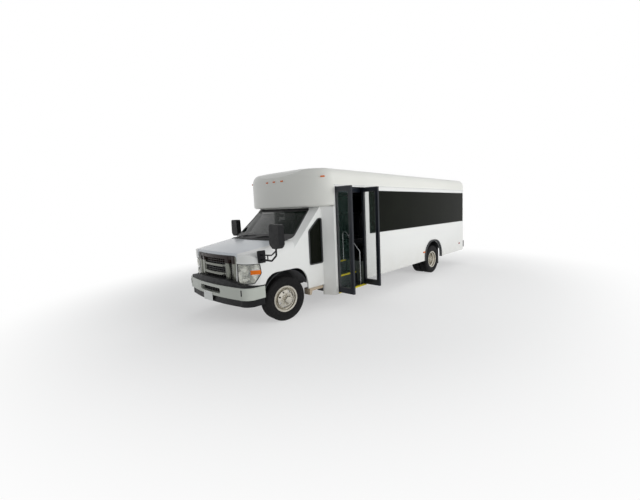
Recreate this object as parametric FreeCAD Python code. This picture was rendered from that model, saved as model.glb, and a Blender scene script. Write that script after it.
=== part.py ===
import FreeCAD, Part
import math
import os

# Minibus on a cutaway van chassis, millimetres.
# +X forward, +Y to the vehicle's left (the passengers' door side), +Z up, ground at Z = 0.

# Layout of the chassis
WHEELBASE = 4826.0
FRONT_AXLE_X = 3085.0
REAR_AXLE_X = FRONT_AXLE_X - WHEELBASE
FRAME_HALF = 430.0
RAIL_WIDTH = 70.0
RAIL_HEIGHT = 180.0
RAIL_TOP_Z = 670.0
FRONT_RAIL_HEIGHT = 130.0
FRONT_RAIL_END_X = 3665.0
CAB_FLOOR_Z = 620.0
CAB_FLOOR_THICK = 35.0

# Axles and steering
BEAM_OFFSET = 55.0
BEAM_PIVOT_Z = 425.0
PIN_R = 24.0
EYE_HALF = 32.0
SPINDLE_R = 30.0
REAR_SPINDLE_R = 62.0

# Fuel tank
TANK_REAR_X = -3350.0
TANK_FRONT_X = -2450.0

# Wheels and tyres
TYRE_R = 372.0
TYRE_WIDTH = 223.0
RIM_SEAT_R = 203.0
RIM_FLANGE_R = 221.0
RIM_WIDTH = 178.0
RIM_SHEET = 8.0
FRONT_TRACK = 1763.0
KINGPIN_Y = 740.0
REAR_INNER_Y = 861.0
REAR_OUTER_Y = 1115.0
STEER_AT_REST = -6.5
RUNNING_FIT = 0.5

# Wide body behind the cab
BODY_HALF = 1219.0
WALL = 40.0
REAR_WALL_X = -3887.0
SKIRT_Z = 389.0
FLOOR_TOP_Z = 750.0
FLOOR_THICK = 60.0
WALL_TOP_Z = 2290.0
ROOF_CORNER_Z = 2405.0
ROOF_CORNER_R = 200.0
ROOF_CROWN = 40.0

# Moulded cap over the cab
CAP_START_X = 2095.0
CAP_DEPTH = 410.0
CAP_BOTTOM_Z = 1900.0
CAP_LIP_RUN = 100.0
CAP_LIP_RISE = 60.0

# Entry door on the left side
DOOR_REAR_X = 1220.0
DOOR_FRONT_X = 2075.0
DOOR_TOP_Z = 2262.0
FRONT_SKIRT_Z = 250.0
LEAF_THICK = 46.0
LEAF_FRAME = 58.0
LEAF_GAP = 6.0
LEAF_MEETING_GAP = 8.0
STEP_LOW_Z = 285.0
STEP_DEPTH = 269.0
STEP_SHEET = 25.0

# Window band
BAND_REAR_X = -3845.0
BAND_FRONT_X = 1065.0
BAND_LOW_Z = 1317.0
BAND_TOP_Z = 2200.0
BAND_FRAME = 32.0
BAND_PANES = 6
GLASS = 8.0

# Van cab
CAB_HALF = 1000.0
CAB_SHEET = 30.0
CAB_SILL_Z = 446.0
CAB_LEFT_REAR_X = 2235.0
CAB_RIGHT_REAR_X = 1665.0
BODY_FRONT_X = 2135.0
NOSE_CENTRE_X = 3845.0
NOSE_LAMP_X = 3785.0
NOSE_LAMP_Y = 640.0
NOSE_CORNER_X = 3590.0
HOOD_FRONT_Z = 1190.0
COWL_X = 2975.0
COWL_Z = 1330.0
SHOULDER_R = 170.0
HOOD_CROWN = 38.0
CAB_TOP_RIGHT = 860.0
BELT_Z = 1335.0
GLASSHOUSE_LOW_Z = 1160.0
FENDER_REAR_X = 2702.0
HOOD_REAR_SIDE_X = 2985.0
HOOD_REAR_CENTRE_X = 3140.0
ARCH_R = 500.0
ARCH_Z = 366.0

# Panel gap round what opens, and the hinges
SHUT_GAP = 6.0
HINGE_R = 5.5
HINGE_OFFSET = 6.0
HINGE_LENGTH = 40.0
HINGE_PLAY = 0.3
HINGE_LEAF = 50.0
LEAF_PIN_R = 8.0
LEAF_PIN_SEAT = 10.0
DRIVER_HINGE_X = 2690.0
DRIVER_HINGE_HEIGHTS = (905.0, 1065.0)
REAR_HINGE_Y = 414.0
REAR_HINGE_HEIGHTS = (900.0, 1400.0, 1950.0)
HOOD_HINGE_X = 2965.0
HOOD_HINGE_Z = 1342.0
HOOD_HINGE_Y = 800.0

# Holes for the number plates
PLATE_HOLE_R = 3.5
PLATE_HOLE_SPACING = 178.0
PLATE_HOLE_DEPTH = 20.0
FRONT_PLATE_Z = 470.0
REAR_PLATE_Z = 577.0

TINY = 1.0


def vec(x, y, z):
    return FreeCAD.Vector(x, y, z)


def box(x0, x1, y0, y1, z0, z1):
    """A block between two corners."""
    return Part.makeBox(x1 - x0, y1 - y0, z1 - z0, vec(x0, y0, z0))


def cylinder(radius, start, end):
    axis = end - start
    return Part.makeCylinder(radius, axis.Length, start, axis)


def rounded_edges(corners):
    """Edges of a closed outline whose corners are (point, radius), joined by tangent arcs."""
    edges = []
    count = len(corners)
    starts = []
    for i in range(count):
        point, radius = corners[i]
        before = corners[i - 1][0]
        after = corners[(i + 1) % count][0]
        if radius <= 0:
            starts.append((point, None, point))
            continue
        into = (before - point).normalize()
        out = (after - point).normalize()
        half = into.getAngle(out) / 2
        run = radius / math.tan(half)
        first = point + into * run
        last = point + out * run
        centre_way = (into + out).normalize()
        middle = point + centre_way * (radius / math.sin(half) - radius)
        starts.append((first, middle, last))
    for i in range(count):
        first, middle, last = starts[i]
        if middle is not None:
            edges.append(Part.Arc(first, middle, last).toShape())
        following = starts[(i + 1) % count][0]
        if (following - last).Length > 0.001:
            edges.append(Part.makeLine(last, following))
    return edges


def prism(plane, points, low, high):
    """Extrude an outline of (a, b) or (a, b, corner radius) points between two planes."""
    corners = []
    for point in points:
        radius = point[2] if len(point) > 2 else 0
        if plane == "xz":
            place = vec(point[0], low, point[1])
        elif plane == "xy":
            place = vec(point[0], point[1], low)
        else:
            place = vec(low, point[0], point[1])
        corners.append((place, radius))
    wire = Part.Wire(rounded_edges(corners))
    travel = {"xz": vec(0, high - low, 0), "xy": vec(0, 0, high - low), "yz": vec(high - low, 0, 0)}
    return Part.Face(wire).extrude(travel[plane])


def turned(outline, centre):
    """Revolve a closed outline of (radius, along) points about a lateral axis."""
    places = [centre + vec(radius, along, 0) for radius, along in outline]
    return Part.Face(Part.makePolygon(places + [places[0]])).revolve(centre, vec(0, 1, 0), 360)


def mirrored(shape):
    """The same piece on the other side of the vehicle."""
    return shape.mirror(vec(0, 0, 0), vec(0, 1, 0))


def both_sides(shape):
    return [shape, mirrored(shape)]


def fused(shapes):
    result = shapes[0].fuse(shapes[1:]) if len(shapes) > 1 else shapes[0]
    return result.removeSplitter()


def tube_path(points, radius, bend):
    """A round bar along straight runs joined by tangent arcs."""
    edges = []
    last = points[0]
    for i in range(1, len(points) - 1):
        corner = points[i]
        into = (points[i - 1] - corner).normalize()
        out = (points[i + 1] - corner).normalize()
        half = into.getAngle(out) / 2
        run = bend / math.tan(half)
        first = corner + into * run
        end = corner + out * run
        middle = corner + (into + out).normalize() * (bend / math.sin(half) - bend)
        edges.append(Part.makeLine(last, first))
        edges.append(Part.Arc(first, middle, end).toShape())
        last = end
    edges.append(Part.makeLine(last, points[-1]))
    way = points[1] - points[0]
    section = Part.Wire(Part.makeCircle(radius, points[0], way))
    return Part.Wire(edges).makePipeShell([section], True, False)


def hinge_half(x, y, low, leaf):
    """Barrel of an upright hinge with its leaf, given as (x0, x1, y0, y1)."""
    barrel = cylinder(HINGE_R, vec(x, y, low), vec(x, y, low + HINGE_LENGTH))
    return barrel.fuse(box(*leaf, low, low + HINGE_LENGTH)).removeSplitter()


def driver_hinges(moving):
    x = DRIVER_HINGE_X
    y = -CAB_HALF - HINGE_OFFSET
    xs = (x - HINGE_LEAF, x) if moving else (x, x + HINGE_LEAF)
    lift = HINGE_LENGTH + HINGE_PLAY if moving else 0
    return [hinge_half(x, y, z + lift, (xs[0], xs[1], y, y + HINGE_OFFSET)) for z in DRIVER_HINGE_HEIGHTS]


def rear_hinges(moving):
    x = REAR_WALL_X - HINGE_OFFSET
    y = REAR_HINGE_Y
    ys = (y - HINGE_LEAF, y) if moving else (y, y + HINGE_LEAF)
    lift = HINGE_LENGTH + HINGE_PLAY if moving else 0
    return [hinge_half(x, y, z + lift, (x, x + HINGE_OFFSET, ys[0], ys[1])) for z in REAR_HINGE_HEIGHTS]


def hood_hinges(moving):
    """Small hinges at the hood's rear corners, their barrels across the vehicle."""
    hinges = []
    x = HOOD_HINGE_X
    z = HOOD_HINGE_Z
    for side in (1, -1):
        if moving:
            ys = sorted((side * HOOD_HINGE_Y, side * (HOOD_HINGE_Y + 15)))
            leaf = prism("xz", [(x, z - 6), (x + 22, z - 6), (x + 30, z - 26), (x + 65, z - 28), (x + 65, z - 14),
                                (x + 28, z), (x, z + 7)], *ys)
        else:
            ys = sorted((side * (HOOD_HINGE_Y - HINGE_PLAY), side * (HOOD_HINGE_Y - 15)))
            leaf = box(x - 25, x, ys[0], ys[1], z - 17, z)
        barrel = cylinder(7, vec(x, ys[0], z), vec(x, ys[1], z))
        hinges.append(barrel.fuse(leaf).removeSplitter())
    return hinges


def plate_holes(x, z, way):
    """Two blind holes for a number plate; way is +1 where the face looks forward."""
    holes = []
    for y in (-PLATE_HOLE_SPACING / 2, PLATE_HOLE_SPACING / 2):
        holes.append(cylinder(PLATE_HOLE_R, vec(x + way * 10, y, z), vec(x - way * PLATE_HOLE_DEPTH, y, z)))
    return holes


def leaf_axis_x(front):
    clear = LEAF_THICK / 2 + LEAF_GAP
    return DOOR_FRONT_X - clear if front else DOOR_REAR_X + clear


def leaf_pin(x, low, high, play):
    y = BODY_HALF - LEAF_THICK / 2
    return cylinder(LEAF_PIN_R + play, vec(x, y, low), vec(x, y, high))


# Roof, walls and cap

def roof_outline(inset):
    """Half section of the roof from the wall's top to the crown, for the outer or inner skin."""
    half = BODY_HALF - inset
    corner_r = ROOF_CORNER_R - inset
    eave = ROOF_CORNER_Z
    top_edge = vec(half - corner_r, 0, eave + corner_r)
    turn = corner_r * math.sqrt(0.5)
    middle = vec(half - corner_r + turn, 0, eave + turn)
    crown = vec(0, 0, top_edge.z + ROOF_CROWN)
    rise = vec(top_edge.x * 0.5, 0, top_edge.z + ROOF_CROWN * 0.75)
    return vec(half, 0, eave), middle, top_edge, rise, crown


def roof_face(inset, low_z, lip_run=0.0, lip_rise=0.0):
    """Half section as a face in the XZ plane, from the axis out to the skin, with a rounded lip if it has one."""
    eave, middle, top_edge, rise, crown = roof_outline(inset)
    foot = vec(eave.x, 0, low_z)
    foot_in = vec(eave.x - lip_run, 0, low_z)
    foot_up = vec(eave.x, 0, low_z + lip_rise)
    axis_foot = vec(0, 0, low_z)
    lip = []
    if lip_run:
        curve = Part.BezierCurve()
        curve.setPoles([foot_in, foot, foot_up])
        lip.append(curve.toShape())
    edges = [Part.makeLine(axis_foot, foot_in)] + lip + [
             Part.makeLine(foot_up, eave),
             Part.Arc(eave, middle, top_edge).toShape(),
             Part.Arc(top_edge, rise, crown).toShape(),
             Part.makeLine(crown, axis_foot)]
    return Part.Face(Part.Wire(edges))


def roof_solid(inset, low_z, start_x, end_x):
    """The roof's section run along the body."""
    face = roof_face(inset, low_z)
    face.rotate(vec(0, 0, 0), vec(0, 0, 1), 90)
    half = face.extrude(vec(end_x - start_x, 0, 0))
    half.translate(vec(start_x, 0, 0))
    return half.fuse(mirrored(half)).removeSplitter()


def cap_brow(drop):
    """Side profile that slopes the cap's top down to a round front."""
    return prism("xz", [(CAP_START_X - TINY, CAP_BOTTOM_Z - 50), (2520 - drop, CAP_BOTTOM_Z - 50),
                        (2520 - drop, 2470 - drop, 120), (2360 - drop, 2608 - drop, 400),
                        (CAP_START_X - TINY, 2657 - drop)], -BODY_HALF - 10, BODY_HALF + 10)


def cap_solid(inset, low_z, lip_run=0.0, lip_rise=0.0):
    """The roof's section turned about the vertical and drawn in to an oval front."""
    half = roof_face(inset, low_z, lip_run, lip_rise).revolve(vec(0, 0, 0), vec(0, 0, 1), 180)
    half.rotate(vec(0, 0, 0), vec(0, 0, 1), -90)
    squeeze = FreeCAD.Matrix()
    squeeze.scale((CAP_DEPTH - inset) / (BODY_HALF - inset), 1, 1)
    oval = half.transformGeometry(squeeze)
    oval.translate(vec(CAP_START_X, 0, 0))
    return oval.common(cap_brow(inset))


def make_roof():
    outer = roof_solid(0, WALL_TOP_Z, REAR_WALL_X, CAP_START_X)
    inner = roof_solid(WALL, WALL_TOP_Z - TINY, REAR_WALL_X + WALL, CAP_START_X + TINY)
    return outer.cut(inner)


def make_front_cap():
    outer = cap_solid(0, CAP_BOTTOM_Z, CAP_LIP_RUN, CAP_LIP_RISE)
    inner = cap_solid(WALL, CAP_BOTTOM_Z + WALL)
    shell = outer.cut(inner)
    hatch = box(CAP_START_X - TINY, 2310, -(CAB_TOP_RIGHT - 60), 840, CAP_BOTTOM_Z - TINY, CAP_BOTTOM_Z + WALL + TINY)
    return shell.cut(hatch)


def band_hole(side):
    """The long opening for the window units, through the wall on one side."""
    y_out = side * (BODY_HALF + TINY)
    y_in = side * (BODY_HALF - WALL - TINY)
    return box(BAND_REAR_X, BAND_FRONT_X, min(y_out, y_in), max(y_out, y_in), BAND_LOW_Z, BAND_TOP_Z)


def rear_arch_cut(side):
    return prism("xz", [(REAR_AXLE_X - 509, SKIRT_Z - TINY), (REAR_AXLE_X + 401, SKIRT_Z - TINY),
                        (REAR_AXLE_X + 401, 869, 400), (REAR_AXLE_X - 509, 869, 400)],
                 *sorted((side * (BODY_HALF + TINY), side * (BODY_HALF - WALL - TINY))))


def make_left_side_wall():
    inner = BODY_HALF - WALL
    panel = prism("xz", [(REAR_WALL_X, SKIRT_Z), (DOOR_REAR_X, SKIRT_Z), (DOOR_REAR_X, DOOR_TOP_Z),
                         (DOOR_FRONT_X, DOOR_TOP_Z), (DOOR_FRONT_X, FRONT_SKIRT_Z),
                         (BODY_FRONT_X, FRONT_SKIRT_Z), (BODY_FRONT_X, CAP_BOTTOM_Z),
                         (CAP_START_X, CAP_BOTTOM_Z), (CAP_START_X, WALL_TOP_Z),
                         (REAR_WALL_X, WALL_TOP_Z)], inner, BODY_HALF)
    flare = prism("xy", [(BODY_FRONT_X - TINY, BODY_HALF), (CAB_LEFT_REAR_X, CAB_HALF),
                         (CAB_LEFT_REAR_X, CAB_HALF - CAB_SHEET), (CAB_LEFT_REAR_X - 20, CAB_HALF - CAB_SHEET),
                         (BODY_FRONT_X - TINY, inner)], FRONT_SKIRT_Z, CAP_BOTTOM_Z)
    wall = panel.fuse(flare).removeSplitter()
    bores = [leaf_pin(leaf_axis_x(front), DOOR_TOP_Z - 5, DOOR_TOP_Z + LEAF_PIN_SEAT + 1, RUNNING_FIT)
             for front in (True, False)]
    return wall.cut([band_hole(1), rear_arch_cut(1)] + bores)


def make_right_side_wall():
    inner = -(BODY_HALF - WALL)
    panel = prism("xz", [(REAR_WALL_X, SKIRT_Z), (CAB_RIGHT_REAR_X, SKIRT_Z), (CAB_RIGHT_REAR_X, CAP_BOTTOM_Z),
                         (CAP_START_X, CAP_BOTTOM_Z), (CAP_START_X, WALL_TOP_Z),
                         (REAR_WALL_X, WALL_TOP_Z)], -BODY_HALF, inner)
    shoulder = box(CAB_RIGHT_REAR_X - WALL, CAB_RIGHT_REAR_X, inner, -(CAB_HALF - CAB_SHEET), SKIRT_Z, CAP_BOTTOM_Z)
    lean = CAB_TOP_RIGHT - CAB_SHEET - 20
    filler = box(CAB_RIGHT_REAR_X - WALL, CAB_RIGHT_REAR_X, inner, -lean, BELT_Z - 60, CAP_BOTTOM_Z)
    soffit = box(CAB_RIGHT_REAR_X - WALL, CAP_START_X, inner, -lean, CAP_BOTTOM_Z, CAP_BOTTOM_Z + WALL)
    wall = fused([panel, shoulder, filler, soffit])
    return wall.cut([band_hole(-1), rear_arch_cut(-1)])


REAR_DOOR_HALF = 430.0
REAR_DOOR_TOP_Z = 2180.0
REAR_DOOR_LOW_Z = 760.0


def make_rear_wall():
    inner = BODY_HALF - WALL
    panel = box(REAR_WALL_X, REAR_WALL_X + WALL, -inner, inner, SKIRT_Z, WALL_TOP_Z)
    hole = box(REAR_WALL_X - TINY, REAR_WALL_X + WALL + TINY, -REAR_DOOR_HALF, REAR_DOOR_HALF,
               REAR_DOOR_LOW_Z, REAR_DOOR_TOP_Z)
    return fused([panel.cut(hole)] + rear_hinges(False))


REAR_DOOR_FRAME = 90.0


def rear_door_window():
    side = REAR_DOOR_HALF - SHUT_GAP - REAR_DOOR_FRAME
    top = REAR_DOOR_TOP_Z - SHUT_GAP - REAR_DOOR_FRAME
    return prism("yz", [(-side, 1380, 60), (side, 1380, 60), (side, top, 60), (-side, top, 60)],
                 REAR_WALL_X - 20, REAR_WALL_X + WALL + 20)


def make_rear_exit_door():
    panel = box(REAR_WALL_X, REAR_WALL_X + WALL, -REAR_DOOR_HALF + SHUT_GAP, REAR_DOOR_HALF - SHUT_GAP,
                REAR_DOOR_LOW_Z + SHUT_GAP, REAR_DOOR_TOP_Z - SHUT_GAP)
    return fused([panel.cut(rear_door_window())] + rear_hinges(True))


def make_rear_exit_glass():
    slab = box(REAR_WALL_X + 12, REAR_WALL_X + 12 + GLASS, -BODY_HALF, BODY_HALF, 0, WALL_TOP_Z)
    return slab.common(rear_door_window())


# Window units

def pane_spans():
    """The clear widths between the frames of the window units."""
    unit = (BAND_FRONT_X - BAND_REAR_X) / BAND_PANES
    spans = []
    for i in range(BAND_PANES):
        start = BAND_REAR_X + i * unit
        spans.append((start + BAND_FRAME, start + unit - BAND_FRAME))
    return spans


def pane_holes(side, low_y, high_y):
    ys = sorted((side * low_y, side * high_y))
    holes = []
    for start, end in pane_spans():
        outline = [(start, BAND_LOW_Z + BAND_FRAME, 40), (end, BAND_LOW_Z + BAND_FRAME, 40),
                   (end, BAND_TOP_Z - BAND_FRAME, 40), (start, BAND_TOP_Z - BAND_FRAME, 40)]
        holes.append(prism("xz", outline, *ys))
    return holes


def make_window_frames():
    frames = []
    for side in (1, -1):
        ys = sorted((side * (BODY_HALF - WALL), side * BODY_HALF))
        band = box(BAND_REAR_X, BAND_FRONT_X, ys[0], ys[1], BAND_LOW_Z, BAND_TOP_Z)
        frames.append(band.cut(pane_holes(side, BODY_HALF - WALL - TINY, BODY_HALF + TINY)))
    return Part.makeCompound(frames)


def quarter_hole(inset, low_y, high_y):
    """The fixed window between the cab's front pillar and the flare, on the left side."""
    i = inset
    outline = [(2255 + i, 872 + i, 30), (2560 - i, 872 + i, 30), (2560 - i, 1478 - i, 30),
               (2330 + i, 1688 - i, 30), (2255 + i, 1688 - i, 30)]
    return prism("xz", outline, low_y, high_y)


def make_side_windows():
    panes = []
    for side in (1, -1):
        panes += pane_holes(side, BODY_HALF - 14 - GLASS, BODY_HALF - 14)
    panes.append(quarter_hole(0, CAB_HALF - 12 - GLASS, CAB_HALF - 12))
    return Part.makeCompound(panes)


# Cab

def nose_plan(inset, rear_left, rear_right, low_z, high_z):
    """The cab's plan outline with its bowed front, run up between two heights."""
    half = CAB_HALF - inset
    front = NOSE_CENTRE_X - inset
    lamp_x = NOSE_LAMP_X - inset
    corner_x = NOSE_CORNER_X - inset
    lamp_y = NOSE_LAMP_Y - inset * 0.3
    bend_x = (lamp_x + corner_x) / 2 + 42
    bend_y = (lamp_y + half) / 2 + 55
    z = low_z
    edges = [Part.makeLine(vec(rear_right, -half, z), vec(corner_x, -half, z)),
             Part.Arc(vec(corner_x, -half, z), vec(bend_x, -bend_y, z), vec(lamp_x, -lamp_y, z)).toShape(),
             Part.Arc(vec(lamp_x, -lamp_y, z), vec(front, 0, z), vec(lamp_x, lamp_y, z)).toShape(),
             Part.Arc(vec(lamp_x, lamp_y, z), vec(bend_x, bend_y, z), vec(corner_x, half, z)).toShape(),
             Part.makeLine(vec(corner_x, half, z), vec(rear_left, half, z)),
             Part.makeLine(vec(rear_left, half, z), vec(rear_left, 0, z)),
             Part.makeLine(vec(rear_left, 0, z), vec(rear_right, 0, z)),
             Part.makeLine(vec(rear_right, 0, z), vec(rear_right, -half, z))]
    return Part.Face(Part.Wire(edges)).extrude(vec(0, 0, high_z - low_z))


def under_hood_line(inset):
    """Everything under the arched hood line that drops to the nose, and under the belt behind the cowl."""
    half = CAB_HALF - inset
    r = SHOULDER_R - inset
    z = COWL_Z - inset
    turn = r * math.sqrt(0.5)
    low = 0
    left = [vec(COWL_X, half, z - r), vec(COWL_X, half - r + turn, z - r + turn), vec(COWL_X, half - r, z)]
    right = [vec(p.x, -p.y, p.z) for p in reversed(left)]
    edges = [Part.makeLine(vec(COWL_X, half, low), left[0]), Part.Arc(*left).toShape(),
             Part.Arc(left[2], vec(COWL_X, 0, z + HOOD_CROWN), right[0]).toShape(), Part.Arc(*right).toShape(),
             Part.makeLine(right[2], vec(COWL_X, -half, low)),
             Part.makeLine(vec(COWL_X, -half, low), vec(COWL_X, half, low))]
    section = Part.Face(Part.Wire(edges))
    angle = math.atan2(COWL_Z - HOOD_FRONT_Z, NOSE_LAMP_X - COWL_X)
    way = vec(math.cos(angle), 0, -math.sin(angle))
    section.rotate(vec(COWL_X, 0, z), vec(0, 1, 0), math.degrees(angle))
    section.translate(way * -500)
    slope = section.extrude(way * 1600)
    slope = slope.common(box(FENDER_REAR_X - inset, 4000, -half - 1, half + 1, 0, COWL_Z + 200))
    return slope.fuse(box(CAB_RIGHT_REAR_X - 100, FENDER_REAR_X + 60, -half, half, 0, GLASSHOUSE_LOW_Z))


def nose_solid(inset, rear_left, rear_right):
    """Lower body of the cab: plan outline under the arched hood line."""
    plan = nose_plan(inset, rear_left, rear_right, CAB_SILL_Z, COWL_Z + 200)
    return plan.common(under_hood_line(inset)).Solids[0]


def glasshouse(inset):
    """Upper part of the cab, lofted on the lines from the belt to the underside of the cap."""
    half = CAB_HALF - inset
    lean = CAB_TOP_RIGHT - inset
    belt = [(CAB_RIGHT_REAR_X, -half), (2790 - inset, -half), (2855 - inset, -922 + inset),
            (3065 - inset, 0), (2855 - inset, 922 - inset), (2790 - inset, half), (CAB_LEFT_REAR_X, half)]
    high = [(CAB_RIGHT_REAR_X, -lean), (2268 - inset, -lean), (2282 - inset, -810 + inset),
            (2410 - inset, 0), (2282 - inset, 810 - inset), (2268 - inset, half), (CAB_LEFT_REAR_X, half)]
    drop = (BELT_Z - GLASSHOUSE_LOW_Z) / (CAP_BOTTOM_Z - BELT_Z)
    low = []
    for b, h in zip(belt, high):
        y = b[1] + (b[1] - h[1]) * drop
        low.append((b[0] + (b[0] - h[0]) * drop, max(-half, y)))
    wires = []
    for z, points in ((GLASSHOUSE_LOW_Z, low), (CAP_BOTTOM_Z, high)):
        p = [vec(x, y, z) for x, y in points]
        edges = [Part.makeLine(p[0], p[1]), Part.makeLine(p[1], p[2]), Part.Arc(p[2], p[3], p[4]).toShape(),
                 Part.makeLine(p[4], p[5]), Part.makeLine(p[5], p[6]),
                 Part.makeLine(p[6], vec(p[6].x, 0, z)), Part.makeLine(vec(p[6].x, 0, z), vec(p[0].x, 0, z)),
                 Part.makeLine(vec(p[0].x, 0, z), p[0])]
        wires.append(Part.Wire(edges))
    return Part.makeLoft(wires, True, True)


def windscreen_mask():
    return prism("yz", [(-898, 1356, 60), (898, 1356, 60), (784, 1882, 50), (-784, 1882, 50)], 2200, 3200)


def front_arch_cut():
    """Wheel opening in the fenders, with the open front and rear corners."""
    reach = ARCH_R
    return prism("xz", [(FRONT_AXLE_X - 460, CAB_SILL_Z - 10), (FRONT_AXLE_X + 431, CAB_SILL_Z - 10),
                        (FRONT_AXLE_X + 431, 712), (FRONT_AXLE_X + 360, ARCH_Z + reach, 250),
                        (FRONT_AXLE_X - 400, ARCH_Z + reach, 290), (FRONT_AXLE_X - 460, 560)],
                 -CAB_HALF - 20, CAB_HALF + 20)


def hood_mask(gap):
    """Plan wedge that parts the hood from the fenders; gap widens it for the opening."""
    low = 1090 - gap
    side_x = HOOD_REAR_SIDE_X - 1.8 * gap
    rear = [vec(side_x, -(830 + gap), low), vec(HOOD_REAR_CENTRE_X - 1.2 * gap, 0, low),
            vec(side_x, 830 + gap, low)]
    front = [vec(NOSE_CENTRE_X + 30, 650 + gap, low), vec(NOSE_CENTRE_X + 30, -(650 + gap), low)]
    edges = [Part.Arc(*rear).toShape(), Part.makeLine(rear[2], front[0]), Part.makeLine(front[0], front[1]),
             Part.makeLine(front[1], rear[0])]
    return Part.Face(Part.Wire(edges)).extrude(vec(0, 0, 400))


def grille_mask(gap):
    return prism("yz", [(-(610 + gap), 725 - gap, 40), (610 + gap, 725 - gap, 40),
                        (650 + gap, 1165 + gap, 60), (-(650 + gap), 1165 + gap, 60)], 3600, 3900)


def headlamp_mask(gap):
    return prism("xz", [(3668 - gap, 740 - gap, 20), (3900, 700 - gap), (3900, 1045 + gap),
                        (3590 - gap, 1050 + gap, 20), (3570 - gap, 900, 20)], 655 - gap, CAB_HALF + 20)


def driver_door_mask(gap):
    """Outline of the driver's door on the right side."""
    g = gap
    return prism("xz", [(1705 - 2 * g, 505 - g, 30), (2560 + g, 505 - g, 60), (2690 + g, 900, 120),
                        (2700 + g, COWL_Z + g, 20), (2280 + g, 1850 + g, 60), (1705 - 2 * g, 1850 + g, 40)],
                 -CAB_HALF - 40, -CAB_HALF + 250)


def driver_window(inset):
    i = inset
    return prism("xz", [(1775 + i, 1290 + i, 40), (2630 - i, 1290 + i, 30), (2235 - i, 1790 - i, 60),
                        (1775 + i, 1790 - i, 50)], -CAB_HALF - 60, -CAB_HALF + 250)


def cab_halves():
    """Skins of the lower body and of the glasshouse, open to each other and to the body behind."""
    nose = nose_solid(0, CAB_LEFT_REAR_X, CAB_RIGHT_REAR_X)
    nose_room = nose_solid(CAB_SHEET, CAB_LEFT_REAR_X, CAB_RIGHT_REAR_X)
    glass_room = glasshouse(CAB_SHEET)
    under = nose_plan(CAB_SHEET, CAB_LEFT_REAR_X - 40, CAB_RIGHT_REAR_X - 40, CAB_SILL_Z - 10, CAB_SILL_Z + 20)
    stub = box(CAB_RIGHT_REAR_X - 10, CAB_LEFT_REAR_X + 10, -CAB_HALF + CAB_SHEET, CAB_HALF - CAB_SHEET,
               CAB_SILL_Z, CAP_BOTTOM_Z + 10)
    low = nose.cut(nose_room).cut(under).cut(stub).cut(glass_room)
    high = glasshouse(0).cut(glass_room).cut(nose_room).cut(stub)
    return low, high


def largest(shape):
    return max(shape.Solids, key=lambda solid: solid.Volume)


def make_cab_shell():
    low, high = cab_halves()
    bumper_gap = box(FRONT_AXLE_X + 430, NOSE_CENTRE_X + 20, -CAB_HALF - 10, CAB_HALF + 10, CAB_SILL_Z - 10, 711)
    for hole in [bumper_gap, headlamp_mask(0), mirrored(headlamp_mask(0)), grille_mask(0), hood_mask(SHUT_GAP),
                 front_arch_cut()]:
        low = low.cut(hole)
    for hole in [windscreen_mask(), driver_door_mask(SHUT_GAP), quarter_hole(0, CAB_HALF - 60, CAB_HALF + 20)]:
        low = low.cut(hole)
        high = high.cut(hole)
    shell = largest(low).fuse(largest(high))
    swing_room = box(HOOD_REAR_SIDE_X - 10, HOOD_REAR_SIDE_X + 55, 815, 836, 1280, 1350)
    for hole in both_sides(swing_room):
        shell = shell.cut(hole)
    return fused([shell] + driver_hinges(False) + hood_hinges(False))


def make_hood():
    skin = nose_solid(0, CAB_LEFT_REAR_X, CAB_RIGHT_REAR_X).cut(nose_solid(CAB_SHEET, CAB_LEFT_REAR_X, CAB_RIGHT_REAR_X))
    wedge = hood_mask(0)
    return fused([skin.common(wedge).cut(grille_mask(SHUT_GAP))] + hood_hinges(True))


def make_driver_door():
    mask = driver_door_mask(0)
    window = driver_window(0)
    panels = [largest(half.common(mask).cut(window)) for half in cab_halves()]
    return fused(panels + driver_hinges(True))


def make_driver_door_glass():
    outer = glasshouse(12)
    inner = glasshouse(12 + GLASS)
    return outer.cut(inner).common(driver_window(0))


def make_windscreen():
    outer = glasshouse(8)
    inner = glasshouse(8 + GLASS)
    return outer.cut(inner).common(windscreen_mask())


GRILLE_BACK_X = 3740.0
GRILLE_OPENING_Y = 515.0
GRILLE_OPENING_Z = (752.0, 1104.0)
GRILLE_POSTS_Y = (358.0, 442.0)
GRILLE_BARS_Z = ((832.0, 873.0), (974.0, 1009.0))
GRILLE_FIN = 8.0


def make_grille():
    """Surround with a deep top bar, two upright posts and two cross bars, before a grid of thin fins."""
    plan = nose_plan(4, CAB_LEFT_REAR_X, CAB_RIGHT_REAR_X, 650, 1300)
    slab = plan.common(box(GRILLE_BACK_X, 3900, -720, 720, 600, 1300)).common(grille_mask(-1))
    low, high = GRILLE_OPENING_Z
    opening = prism("yz", [(-GRILLE_OPENING_Y, low, 30), (GRILLE_OPENING_Y, low, 30), (GRILLE_OPENING_Y + 15, high, 30),
                           (-GRILLE_OPENING_Y - 15, high, 30)], GRILLE_BACK_X - 10, 3900)
    front = slab.cut(opening)
    parts = [front]
    for z0, z1 in GRILLE_BARS_Z:
        parts.append(slab.common(box(GRILLE_BACK_X, 3900, -GRILLE_POSTS_Y[0] - 20, GRILLE_POSTS_Y[0] + 20, z0, z1)))
    for side in (1, -1):
        ys = sorted((side * GRILLE_POSTS_Y[0], side * GRILLE_POSTS_Y[1]))
        parts.append(slab.common(box(GRILLE_BACK_X, 3900, ys[0], ys[1], low - 5, high + 5)))
    set_back = nose_plan(34, CAB_LEFT_REAR_X, CAB_RIGHT_REAR_X, 650, 1300).common(opening)
    for i in range(-8, 9):
        y = i * 60
        parts.append(set_back.common(box(GRILLE_BACK_X, 3900, y - GRILLE_FIN / 2, y + GRILLE_FIN / 2, low - 2, high + 2)))
    for i in range(1, 10):
        z = low + i * (high - low) / 10
        parts.append(set_back.common(box(GRILLE_BACK_X, 3900, -540, 540, z - GRILLE_FIN / 2, z + GRILLE_FIN / 2)))
    return fused(parts)


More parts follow.
